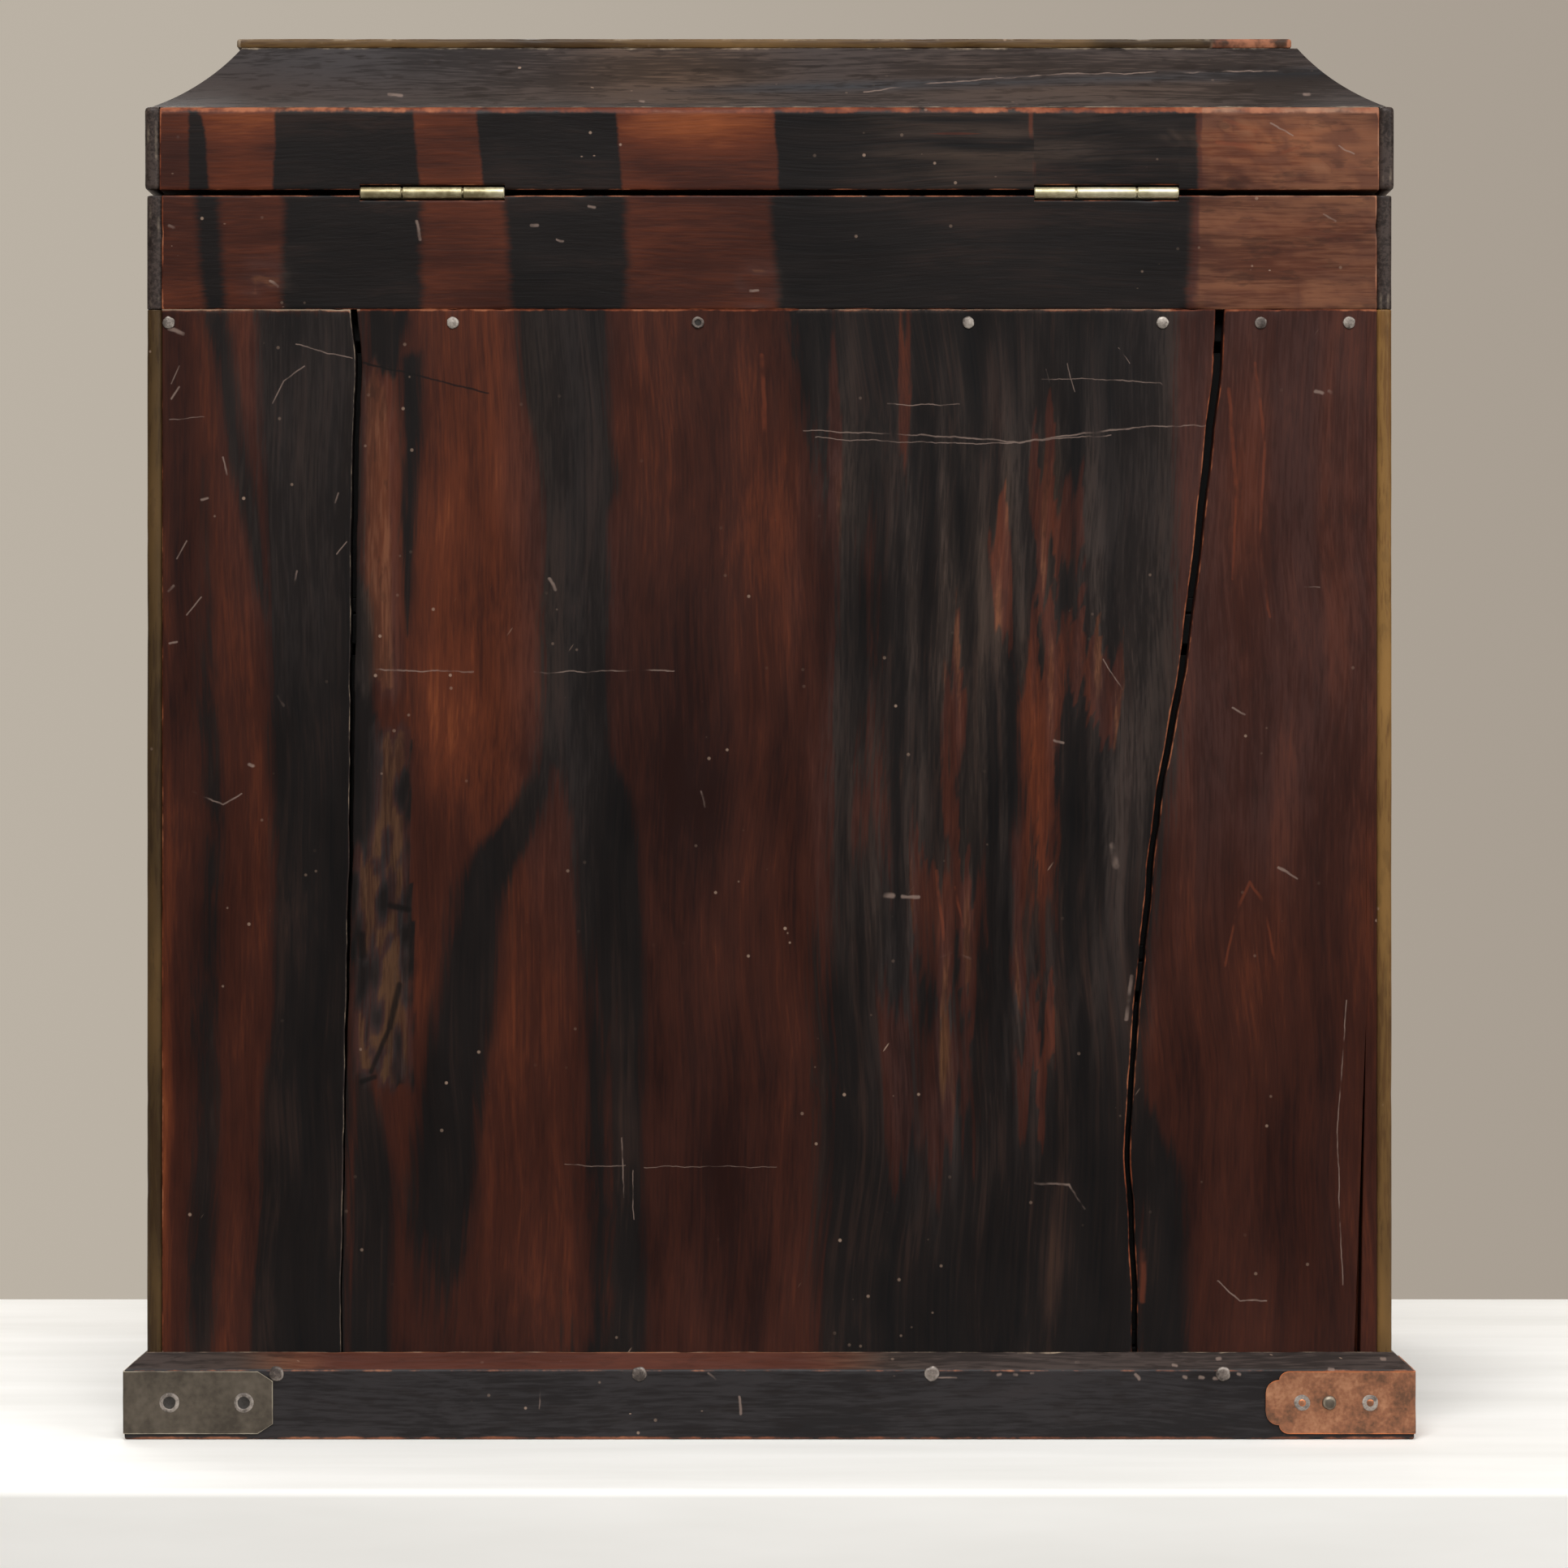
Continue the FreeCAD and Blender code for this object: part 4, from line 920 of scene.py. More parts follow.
# Black gouges and orange streaks in the grain, in the same way
GOUGES = (
    (1.1, (-97.5, 119), (-100, 108)), (0.8, (-100, 108), (-105, 96)),
    (0.8, (-107.5, 93.6), (-104, 94.8)), (1.0, (-100, 140), (-95, 139)),
    (1.4, (-107.5, 132), (-107, 127)), (0.3, (-107, 283), (-74, 275)),
)
EMBERS = (
    (0.5, (128, 283), (130.5, 262)), (0.45, (130.5, 262), (129, 234)),
    (0.45, (129.3, 234), (131.8, 216)), (0.6, (121, 276), (123, 250)), (0.4, (123, 250), (122, 226)),
    (0.5, (126.5, 146), (123.2, 139)), (0.4, (123.2, 139), (120, 124)), (0.5, (126.5, 146), (130, 141)),
    (0.4, (130, 141), (133, 126)), (0.7, (-2, 285), (-1, 262)), (0.7, (68.6, 350), (69.2, 340)),
    (0.6, (69.2, 340), (69.8, 331)), (0.8, (120, 347), (128, 344)), (0.7, (118, 341), (133, 338.5)),
    (0.7, (134, 338), (143, 341)), (1.0, (98.6, 49), (98.2, 36)), (0.5, (44, 149), (46, 131)),
    (0.4, (49, 145), (51, 134)),
)
# Lines drawn on the back, one kind over another: strength, colour and whether they are broken up
MARKS = (
    (EMBERS, 0.3, (124, 60, 36), True),
    (SCRATCHES_AND_SHEEN_LINE, 0.52, (142, 122, 112), True),
    (GOUGES, 0.85, (12, 9, 8), False),
)


def stroke_group():
    """A node group that gives 1 on a straight stroke between two places and 0 away from it."""
    m = Nodes(bpy.data.node_groups.new("stroke", "ShaderNodeTree"))
    for name in ("Place", "Start", "End"):
        m.tree.interface.new_socket(name, in_out="INPUT", socket_type="NodeSocketVector")
    m.tree.interface.new_socket("Width", in_out="INPUT", socket_type="NodeSocketFloat")
    m.tree.interface.new_socket("Mark", in_out="OUTPUT", socket_type="NodeSocketFloat")
    source = m.add("NodeGroupInput").outputs
    run = m.vector_math("SUBTRACT", source["End"], source["Start"])
    reach = m.vector_math("SUBTRACT", source["Place"], source["Start"])
    along = m.vector_math("DOT_PRODUCT", reach, run, output="Value")
    whole = m.vector_math("DOT_PRODUCT", run, run, output="Value")
    foot = m.add("ShaderNodeVectorMath", run, operation="SCALE")
    m.put(foot.inputs["Scale"], m.math("DIVIDE", along, whole, clamp=True))
    away = m.vector_math("DISTANCE", reach, foot.outputs[0], output="Value")
    mark = m.step(m.math("DIVIDE", away, source["Width"]), 0.3, 1.2, 1.0, 0.0)
    m.put(m.add("NodeGroupOutput").inputs["Mark"], mark)
    return m.tree


STROKE = stroke_group()


def strongest_stroke(m, strokes, place):
    """The strongest of some (start, end, width) strokes at a place on the back."""
    strongest = None
    for start, end, width in strokes:
        mark = m.add("ShaderNodeGroup", node_tree=STROKE)
        m.put(mark.inputs["Place"], place)
        mark.inputs["Start"].default_value = (*start, 0)
        mark.inputs["End"].default_value = (*end, 0)
        mark.inputs["Width"].default_value = width
        found = mark.outputs["Mark"]
        strongest = found if strongest is None else m.math("MAXIMUM", strongest, found)
    return strongest


def back_place(m):
    """Places on the back as (across, height) in millimetres, shaken a little."""
    spread = m.parts(m.place())
    across = m.math("MULTIPLY", spread["X"], -1 / MM)
    height = m.math("MULTIPLY", spread["Z"], 1 / MM)
    place = m.add("ShaderNodeCombineXYZ", across, height).outputs[0]
    shake = m.math("SUBTRACT", m.noise(place, 0.13, 3.0), 0.5)
    shaken = m.add("ShaderNodeCombineXYZ", shake, m.math("MULTIPLY", shake, 2.0)).outputs[0]
    return m.vector_math("ADD", place, shaken)


def marked(m, colour, low, high):
    """A colour with the marks that start between two (across, height) corners."""
    place = back_place(m)
    gaps = m.step(m.noise(place, 0.09, 3.0), 0.36, 0.56)
    for lines, strength, tint, broken in MARKS:
        near = []
        for width, *points in lines:
            for start, end in zip(points, points[1:]):
                if low[0] < start[0] < high[0] and low[1] < start[1] < high[1]:
                    near.append((start, end, width))
        if near:
            mark = strongest_stroke(m, near, place)
            if broken:
                mark = m.math("MULTIPLY", mark, gaps)
            colour = m.mix(m.math("MULTIPLY", mark, strength), colour, screen(*tint))
    return colour


BROWN = ((0.0, (30, 12, 9)), (0.35, (54, 24, 15)), (0.65, (84, 39, 21)), (1.0, (128, 68, 36)))
BLACK = ((0.3, (9, 8, 9)), (0.55, (19, 14, 13)), (0.72, (37, 25, 21)), (0.95, (58, 39, 29)))
OLIVE = ((0.15, (62, 47, 27)), (0.5, (98, 74, 42)), (0.85, (140, 106, 58)))
TAN = ((0.3, (90, 58, 43)), (0.7, (134, 90, 65)))
ASH = ((0.1, (54, 54, 57)), (0.5, (65, 56, 53)), (0.9, (88, 69, 56)))
WORN = ((0.35, (90, 41, 24)), (0.55, (126, 64, 38)), (0.75, (158, 96, 66)))
THIN_BLOOM = screen(66, 47, 45)
PIT = screen(24, 17, 14)
PALE_WEAR = screen(158, 142, 122)
FLECK = screen(168, 142, 124)


def figured_wood(name, low=None, high=None):
    """Oiled, worn wood whose bands, warmth, bloom and wear, with some painted light and sheen, are painted
    on the vertices.

    A board at the back also has the marks that start between two (across, height) corners.
    """
    m = Material(name)
    grain = m.attribute("grain", "Vector")
    drift = m.named("ShaderNodeTexNoise", "Color", Vector=grain, Scale=0.012, Detail=1.0)
    sway = m.vector_math("SUBTRACT", drift, (0.5, 0.5, 0.5))
    warped = m.vector_math("ADD", grain, m.vector_math("MULTIPLY", sway, (0, 14, 14)))
    fine = m.noise(warped, (0.02, 1.1, 1.1), 3.0, 0.65)
    coarse = m.noise(warped, (0.006, 0.16, 0.16), 4.0, 0.6)
    blotch = m.noise(grain, (0.018, 0.06, 0.06), 3.0)
    speckle = m.noise(grain, (0.14, 1.5, 1.5), 2.0)
    fine_off, coarse_off, blotch_off, speckle_off = [
        m.math("SUBTRACT", value, 0.5) for value in (fine, coarse, blotch, speckle)]

    # Dark bands in brown wood, with edges that fray along the grain
    soft = m.attribute("soft")
    warm = m.attribute("warm")
    streak = m.attribute("streak")
    rags = m.math("MULTIPLY", streak, m.total((fine_off, 7.0), (coarse_off, 6.0)))
    inside = m.math("ADD", m.attribute("dark"), m.math("MULTIPLY", soft, rags))
    darkness = m.step(m.math("DIVIDE", inside, soft), -1.0, 1.0)
    lines = m.math("MULTIPLY", streak, m.total((fine_off, 0.8), (coarse_off, 1.1)))
    brown = m.ramp(m.total((warm, 0.32), 0.29, lines, (blotch_off, 0.75), (speckle_off, 0.3)), BROWN)
    black = m.ramp(m.total(0.5, lines, (blotch_off, 0.6)), BLACK)
    colour = m.mix(darkness, brown, black)

    # Bloom and painted sheen: tan or olive on brown wood, ash grey on dark wood, with pits in it
    grey = m.attribute("grey")
    mottle = m.step(m.total(fine, (blotch_off, 1.2), (speckle_off, 0.8)), 0.32, 0.68)
    bloom_and_sheen = m.math("MULTIPLY", grey, m.total(0.45, (mottle, 0.7)), clamp=True)
    golden = m.step(grey, 1.1, 1.4)
    olive = m.ramp(m.total(blotch, (warm, 0.3)), OLIVE)
    dusty = m.mix(m.step(warm, -0.9, 0.4), olive, m.ramp(blotch, TAN))
    dusty = m.mix(m.step(grey, 0.38, 0.6), THIN_BLOOM, dusty)
    dusty = m.mix(golden, dusty, olive)
    ash = m.ramp(m.total(0.5, (warm, 0.5)), ASH)
    colour = m.mix(m.math("MULTIPLY", bloom_and_sheen, 0.85), colour, m.mix(darkness, dusty, ash))
    holes = m.step(m.noise(grain, (0.12, 0.4, 0.4), 3.0), 0.56, 0.64)
    pits = m.math("MULTIPLY", m.math("MINIMUM", grey, 1.0), holes)
    colour = m.mix(m.math("MULTIPLY", pits, m.step(grey, 1.1, 1.4, 0.5, 0.15)), colour, PIT)

    # Rubbed edges
    broken = m.noise(grain, 0.16, 3.0, 0.65)
    rubbed = m.step(m.math("MULTIPLY", m.attribute("wear"), m.total((broken, 2.4), -0.2)), 0.45, 0.95)
    worn = m.ramp(m.total(broken, (blotch_off, 1.5)), WORN)
    worn = m.mix(m.step(grey, 0.4, 0.9), worn, PALE_WEAR)
    colour = m.mix(m.math("MULTIPLY", rubbed, 0.85), colour, worn)

    # Light flecks and slanted nicks in some places
    chosen = m.step(m.noise(grain, 0.025, 2.0), 0.48, 0.68)
    dots = m.step(m.cells(grain, 0.16), 0.05, 0.09, 1.0, 0.0)
    slanted = m.vector_math("MULTIPLY", m.turned(grain, 0.6), (0.03, 0.22, 0.22))
    nicks = m.step(m.cells(slanted, 1.0), 0.03, 0.05, 1.0, 0.0)
    flecks = m.math("MULTIPLY", m.math("MAXIMUM", dots, nicks), chosen)
    colour = m.mix(m.math("MULTIPLY", flecks, 0.55), colour, FLECK)
    if low:
        colour = marked(m, colour, low, high)
    height = m.total((fine, 0.6), (blotch, 0.5), (speckle, 0.25))
    return m.finish(Base_Color=colour, Roughness=m.total(0.3, (blotch, 0.3), (rubbed, 0.12)),
                    Specular_IOR_Level=0.16, Normal=m.bump(height, 0.25, 0.0003))


# Inner boards are painted black as shade from this depth on, close to the back boards, where they show
# through the cracks, in metres
CRACK_SHADE_START = 0.1105
# At the front they are stained up to this depth
STAIN_END = -0.1195
CRACK_SHADE = screen(9, 7, 6)
STAIN = ((0.35, (20, 11, 9)), (0.5, (48, 24, 16)), (0.65, (84, 42, 26)))


def plain_wood(name, stretch, dark, middle, bright):
    """Bare aged wood inside the chest, with its grain along the shortest stretch, painted black as shade
    near the back.
    """
    m = Material(name)
    place = m.place()
    fine = m.noise(place, stretch, 4.0, 0.6, 0.4)
    broad = m.noise(place, tuple(value * 0.12 for value in stretch), 2.0)
    colour = m.ramp(m.total((fine, 0.6), (broad, 0.4)), ((0.3, dark), (0.5, middle), (0.7, bright)))
    colour = m.mix(m.step(m.noise(place, 14.0, 3.0), 0.5, 0.8, 0.0, 0.5), colour, screen(*dark))
    depth = m.parts(place)["Y"]
    # Painted shade: black near the back boards, where only shade shows through the cracks
    colour = m.mix(m.step(depth, CRACK_SHADE_START, CRACK_SHADE_START + 0.003), colour, CRACK_SHADE)
    stained = m.ramp(m.total((fine, 0.5), (broad, 0.5)), STAIN)
    colour = m.mix(m.step(depth, STAIN_END, STAIN_END + 0.002, 1.0, 0.0), colour, stained)
    return m.finish(Base_Color=colour, Roughness=0.7, Specular_IOR_Level=0.25,
                    Normal=m.bump(fine, 0.3, 0.0003))


GRIME = screen(14, 11, 9)


def metal(name, dark, middle, bright, rim, scale, metallic, rough):
    """Old metal with patina in blotches, small dents, rubbed rims and grime in its hollows."""
    m = Material(name)
    place = m.place()
    wear = m.attribute("wear")
    cloud = m.noise(place, scale, 4.0, 0.62)
    grit = m.noise(place, scale * 9, 2.0)
    dents = m.cells(place, scale * 2.2)
    colour = m.ramp(m.total(cloud, (grit, 0.35), -0.175), ((0.35, dark), (0.5, middle), (0.68, bright)))
    rubbed = m.step(m.math("MULTIPLY", wear, m.total((cloud, 2.4), -0.2)), 0.45, 0.95)
    colour = m.mix(rubbed, colour, screen(*rim))
    colour = m.mix(m.step(wear, -0.3, -0.9, 0.0, 0.9), colour, GRIME)
    roughness = m.total(rough, (rubbed, -0.12), (grit, 0.25))
    height = m.total((cloud, 0.8), (dents, 0.5), (grit, 0.15))
    return m.finish(Base_Color=colour, Roughness=roughness, Metallic=metallic,
                    Normal=m.bump(height, 0.4, 0.0005))


WOOD = figured_wood("figured_wood")
ALONG_X = (8, 260, 260)
ALONG_Y = (260, 8, 260)
AGED = ((64, 42, 26), (94, 66, 42), (122, 90, 58))
BARE = ((112, 78, 48), (146, 106, 68), (172, 132, 90))
SMOKED = ((20, 13, 9), (30, 20, 13), (40, 27, 18))
PLAIN_WOODS = {
    "aged": plain_wood("aged_wood", ALONG_X, *AGED),
    "smoked": plain_wood("smoked_wood", ALONG_X, *SMOKED),
    "bare_x": plain_wood("bare_wood_along_x", ALONG_X, *BARE),
    "bare_y": plain_wood("bare_wood_along_y", ALONG_Y, *BARE),
}
BRASS = metal("brass", (138, 127, 94), (184, 174, 138), (210, 201, 168), (228, 221, 194), 60, 0.55, 0.3)
COPPER = metal("copper", (106, 75, 57), (146, 98, 72), (178, 128, 96), (222, 128, 76), 110, 0.7, 0.4)
IRON = metal("iron", (70, 63, 55), (87, 79, 69), (102, 93, 82), (176, 166, 148), 70, 0.7, 0.42)
DULL_NAIL = metal("dull_nail_iron", (58, 50, 46), (92, 82, 76), (126, 116, 108), (150, 140, 132),
                  260, 0.35, 0.5)
NAIL = metal("nail_iron", (92, 84, 78), (138, 129, 121), (172, 163, 154), (186, 177, 167), 260, 0.35, 0.5)


# Boards


def finish_board(node, rings, body, figure, grain_axis, seed, ripple=0.08, chip=0.6,
                 material=WOOD, name=None):
    """Make a worn, painted board through rings that stands for a node."""
    shape = swept_mesh(rings)
    roughen(shape, ripple, chip, seed)
    piece = make_object(f"{name or node}_worn", shape, [material])
    paint(piece, figure, grain_axis, seed)
    stand_for(piece, body, node)


# Amount and length of the waves that both sides of a crack share, and of each side's own
CRACK_DRIFT = (0.5, 16)
CRACK_OWN = (0.16, 4)


def crack_side(rows, heights, drift_seed, own_seed):
    """One side of a crack at some heights: the frame's line, shared waves and small ones of its own."""
    side = smooth_rows(rows, heights)
    for (amount, length), seed in ((CRACK_DRIFT, drift_seed), (CRACK_OWN, own_seed)):
        side += [amount * noise.noise(Vector((height / length, seed, 0))) for height in heights]
    return side


def back_strip(low_side, high_side, heights, depth, low_wear, high_wear):
    """A back board with two wandering sides, as rings from the foot up."""
    ease = 0.5
    columns = max(2, round(np.mean(high_side - low_side)))
    hidden_columns = max(2, columns // 6)
    end_wear = {0: 0.3, len(heights) - 1: 1.0}
    rings = []
    for index, height in enumerate(heights):
        low, high = low_side[index], high_side[index]
        low_ease = ease * min(1, low_wear[index] + 0.1)
        high_ease = ease * min(1, high_wear[index] + 0.1)
        corners = rectangle(low, depth[0], high, depth[1], 0, 0, high_ease, low_ease)
        ring = []
        for x, y, worn in eased_outline(corners, (hidden_columns, 2, columns, 2)):
            edge = low_wear[index] if x < (low + high) / 2 else high_wear[index]
            ring.append((Vector((x, y, height)), max(worn * edge, end_wear.get(index, 0.0))))
        rings.append(ring)
    return rings


def make_back_boards():
    """Three boards with wandering, worn cracks between them, the left one with a split of its own."""
    low, high = span("back_board_centre")
    edge_line = 1.1
    heights = np.linspace(low.z + edge_line, high.z - edge_line, round((high.z - low.z) / 2))
    heights = np.concatenate(([low.z], heights, [high.z]))
    even = np.ones(len(heights))
    rim = span("back_board_right")[1].x
    rim_wear = np.interp(heights, (0, 30, 130, 256, 300), (0.8, 1, 0.95, 0.7, 0.4))
    # Each crack's two sides, looked for between two places along x
    right_crack = (edge_rows("back_board_right", 100, rim - 1), edge_rows("back_board_centre", 0, 140))
    left_crack = (edge_rows("back_board_centre", -140, 0), edge_rows("back_board_left", -130, 0))

    split_middle = -155
    split = edge_rows("back_board_left", -159.5, -150)
    top = max(split)
    near = [row for row in split if row[1] > split_middle] + [top]
    far = [row for row in split if row[1] < split_middle and row != top] + [top]
    open_split = np.clip((top[0] - heights) / 20, 0, 1)

    # Each strip's two sides, from low to high x, and the wear along them
    strips = {
        "right": (crack_side(right_crack[0], heights, 1, 2), rim * even, 0.66 * even, rim_wear),
        "centre": (crack_side(left_crack[0], heights, 5, 6), crack_side(right_crack[1], heights, 1, 3),
                   even, 0.45 * even),
        "left": (smooth_rows(near, heights), crack_side(left_crack[1], heights, 5, 7),
                 0.5 * open_split, 0.85 * even),
        "left_slip": (-rim * even, smooth_rows(far, heights), 0.3 * even, 0.3 * open_split),
    }
    for name, (low_side, high_side, low_wear, high_wear) in strips.items():
        rings = back_strip(low_side, high_side, heights, (low.y, high.y), low_wear, high_wear)
        wood = figured_wood(f"back_wood_{name}", (-high_side.max(), PLINTH_HIGH.z),
                            (-low_side.min(), high.z))
        finish_board("back_board_" + name.split("_")[0], rings, "case", back_figure, "z", 1,
                     material=wood, name=f"back_board_{name}")


BEAD_WIDTH = 4
BEAD_EASE = 0.9
# How deep the back boards and the tray's and lid's back and front walls are let into the sides
PANEL_REBATE = 6
WALL_REBATE = 9


def beaded_corners(sign, outer, inner, rebate, both_ends):
    """A side's level outline, with a beaded lip at its back end and at its front end if asked."""
    lip = outer - BEAD_WIDTH
    back_end = [(outer, BACK - BEAD_EASE, 0.4), (outer - BEAD_EASE, BACK, 0.8), (lip + BEAD_EASE, BACK, 0.8),
                (lip, BACK - BEAD_EASE, 0.3), (lip, BACK - rebate, 0.2), (inner, BACK - rebate, 0.2)]
    front_end = [(inner, -BACK, 0.4), (outer, -BACK, 0.6)]
    if both_ends:
        front_end = [(x, -y, radius) for x, y, radius in reversed(back_end)]
    if sign > 0:
        return front_end + back_end
    return [(-x, y, radius) for x, y, radius in reversed(front_end + back_end)]


def upright_rings(corners, counts, low, high, step, ease):
    """Rings of a level outline carried up from low to high."""
    outline = eased_outline(corners, counts)
    stations = eased_ends(low, high, max(2, round((high - low) / step)), ease)
    return [[(Vector((x, y, height)), max(worn, 0.5 * end)) for x, y, worn in inset(outline, shrink)]
            for height, shrink, end in stations]


def make_sides():
    """Side panels and the side walls of tray and lid."""
    step = 4
    for hand, sign in HANDS.items():
        for node, body, rebate, both_ends, axis, ease in (
                (f"{hand}_side_panel", "case", PANEL_REBATE, False, "z", 0.3),
                (f"tray_{hand}_wall", "case", WALL_REBATE, True, "y", 0.4),
                (f"lid_{hand}_wall", "lid", WALL_REBATE, True, "y", 1.2)):
            low, high = span(node)
            inner, outer = sorted((abs(low.x), abs(high.x)))
            corners = beaded_corners(sign, outer, inner, rebate, both_ends)
            counts = []
            for corner, following in zip(corners, corners[1:] + corners[:1]):
                length = math.hypot(following[0] - corner[0], following[1] - corner[1])
                counts.append(max(1, round(length / step)))
            rings = upright_rings(corners, counts, low.z, high.z, step, ease)
            finish_board(node, rings, body, strip_figure, axis, 2 + sign + len(node) % 5)


HINGE_ROOM = 0.1
# Where the hinges are let into the back walls, along x
LET_INS = [(low[0] - HINGE_ROOM, high[0] + HINGE_ROOM) for low, high in lumps("hinge_lid_leaves")]
LEAF_THICKNESS = 0.75
LEAF_REACH = 7
BARREL_REACH = 2
BARREL_DEPTH = 1.25


def hinged_corners(low, high, edge, sign, place, nose):
    """A back wall's section, its hinge edge cut away by the let-in where there is a hinge."""
    let_in = any(start < place < end for start, end in LET_INS)
    leaf = edge + sign * LEAF_THICKNESS * let_in
    barrel = edge + sign * BARREL_DEPTH * let_in
    leaf_start, barrel_start = HINGE.y - LEAF_REACH, HINGE.y - BARREL_REACH
    stepped = [(low.y, edge, 0.2), (leaf_start, edge, 0), (leaf_start, leaf, 0), (barrel_start, leaf, 0),
               (barrel_start, barrel, 0), (high.y, barrel, 0.35)]
    if sign > 0:
        return stepped + [(high.y, high.z, nose), (low.y, high.z, 0.2)]
    return [(low.y, low.z, 0.2), (high.y, low.z, 0.35)] + stepped[::-1]


def make_back_walls():
    """Back walls of tray and lid, let in for the hinges."""
    for name, low, high, edge, sign, nose, body, figure in (
            ("tray", TRAY_LOW, TRAY_HIGH, TRAY_HIGH.z, -1, 0.35, "case", tray_figure),
            ("lid", LID_LOW, LID_HIGH, LID_LOW.z, 1, 1.8, "lid", lid_figure)):
        rows = round((high.z - low.z) / 2)
        counts = (1, 1, 1, 1, 1, rows, 4, rows) if sign > 0 else (4, rows, 1, 1, 1, 1, 1, rows)

        def section(place):
            return eased_outline(hinged_corners(low, high, edge, sign, place, nose), counts)

        stations = eased_ends(low.x, high.x, round((high.x - low.x) / 2), 0.2)
        stations = stepped_stations(stations, [place for let_in in LET_INS for place in let_in])
        wood = figured_wood(f"{name}_back_wood", (-high.x, low.z), (-low.x, high.z))
        finish_board(f"{name}_back_wall", lengthwise_rings(section, stations), body, figure, "x", 3,
                     ripple=0.05, chip=0.5, material=wood)


def make_front_walls():
    """Front walls of tray and lid."""
    for name, body, nose in (("tray", "case", 0.4), ("lid", "lid", 1.8)):
        low, high = span(f"{name}_front_wall")
        rows = round((high.z - low.z) / 3)
        corners = rectangle(low.y, low.z, high.y, high.z, 0.4, 0.2, 0.2, nose)
        rings = bar_rings(corners, (3, rows, 3, rows), eased_ends(low.x, high.x, 100, 0.2))
        finish_board(f"{name}_front_wall", rings, body, plain_figure, "x", 5)


def mitred_rings(outline, side, reach_x, reach_y):
    """Rings of a (inward, height) outline along one side, ending in mitres."""
    step = 3
    along_x = SIDES[side] == "x"
    sign = 1 if side in ("back", "right") else -1
    across, along = (reach_y, reach_x) if along_x else (reach_x, reach_y)
    rings = []
    for share in np.linspace(-1, 1, round(2 * along / step) + 1):
        ring = []
        for inward, height, worn in outline:
            out, run = sign * (across - inward), share * (along - inward)
            ring.append((Vector((run, out, height) if along_x else (out, run, height)), worn))
        rings.append(ring)
    return rings


COVE_RADIUS = 65.0
COVE_STEPS = 14
# Inward distances from the lid's outer edge: the cove's foot and head, and its hidden head and foot
COVE_FOOT, COVE_HEAD, HIDDEN_HEAD, HIDDEN_FOOT = 1.6, 23.0, 31.0, 9.0


def make_coves():
    """Four mitred cove boards under the lid's top panel."""
    low, high = COVE_LOW, COVE_HIGH
    foot, head = Vector((COVE_FOOT, low.z)), Vector((COVE_HEAD, high.z))
    chord = head - foot
    sag = COVE_RADIUS - math.sqrt(COVE_RADIUS ** 2 - chord.length_squared / 4)
    inward = Vector((chord.y, -chord.x)).normalized()
    outline = []
    for step in range(COVE_STEPS + 1):
        share = step / COVE_STEPS
        point = foot.lerp(head, share) + inward * sag * 4 * share * (1 - share)
        outline.append((point.x, point.y, 1.0 if step in (0, COVE_STEPS) else 0.0))
    outline += [(HIDDEN_HEAD, high.z, 0.0), (HIDDEN_FOOT, low.z, 0.0)]
    back_wood = figured_wood("cove_back_wood", (low.x, low.z), (high.x, high.z))
    for index, (side, axis) in enumerate(SIDES.items()):
        rings = mitred_rings(outline, side, high.x + COVE_FOOT, high.y + COVE_FOOT)
        finish_board(f"lid_{side}_cove", rings, "lid", cove_figure, axis, 6 + index, ripple=0.1, chip=0.4,
                     material=back_wood if side == "back" else WOOD)


def make_top_panel():
    """The thin top panel, chipped along its edges."""
    low, high = span("lid_top_panel")
    corners = rectangle(low.y, low.z, high.y, high.z, 0.5, 0.5, 0.9, 0.9)
    rings = bar_rings(corners, (50, 1, 50, 1), eased_ends(low.x, high.x, 72, 0.9))
    finish_board("lid_top_panel", rings, "lid", top_figure, "x", 11, ripple=0.1, chip=1.2)


BEVEL_FOOT = 18.2


def make_plinth():
    """Four mitred rails with a bevelled top."""
    low, high = span("plinth_back_rail")
    thick = high.y - low.y
    corners = ((thick, low.z, 0), (thick, high.z, 0.2), (0.0, BEVEL_FOOT, 0.5), (0.0, low.z, 0.9))
    outline = eased_outline(corners, (8, 10, 6, 2))
    back_wood = figured_wood("plinth_back_wood", (low.x, low.z), (high.x, high.z))
    for index, (side, axis) in enumerate(SIDES.items()):
        rings = mitred_rings(outline, side, high.x, high.y)
        finish_board(f"plinth_{side}_rail", rings, "case", plinth_figure, axis, 12 + index,
                     material=back_wood if side == "back" else WOOD)


def make_drawer_fronts():
    """Drawer fronts, rebated at the ends for the drawer sides."""
    for index, name in enumerate(DRAWERS):
        low, high = span(f"{name}_drawer_front")
        side_low = span(f"{name}_drawer_right_side")[0]
        rows = round((high.z - low.z) / 4)

        def section(place):
            inner = side_low.y if abs(place) > side_low.x else high.y
            corners = ((low.y, low.z, 0.6), (high.y, low.z, 0.2), (high.y, side_low.z, 0),
                       (inner, side_low.z, 0), (inner, high.z, 0.2), (low.y, high.z, 0.6))
            return eased_outline(corners, (2, 1, 1, rows, 2, rows))

        stations = stepped_stations(eased_ends(low.x, high.x, 80, 0.6), (-side_low.x, side_low.x))
        finish_board(f"{name}_drawer_front", lengthwise_rings(section, stations), f"{name}_drawer",
                     plain_figure, "x", 17 + index)


def dress_node(node, material, ease):
    """A better material and eased edges on a node that stays as it is."""
    kept = frame["nodes"][node]
    kept.data.materials.clear()
    kept.data.materials.append(material)
    weld = kept.modifiers.new("weld", "WELD")
    weld.merge_threshold = 1e-6
    bevel = kept.modifiers.new("ease", "BEVEL")
    bevel.width = ease * MM
    bevel.segments = 2
    bevel.limit_method = "ANGLE"


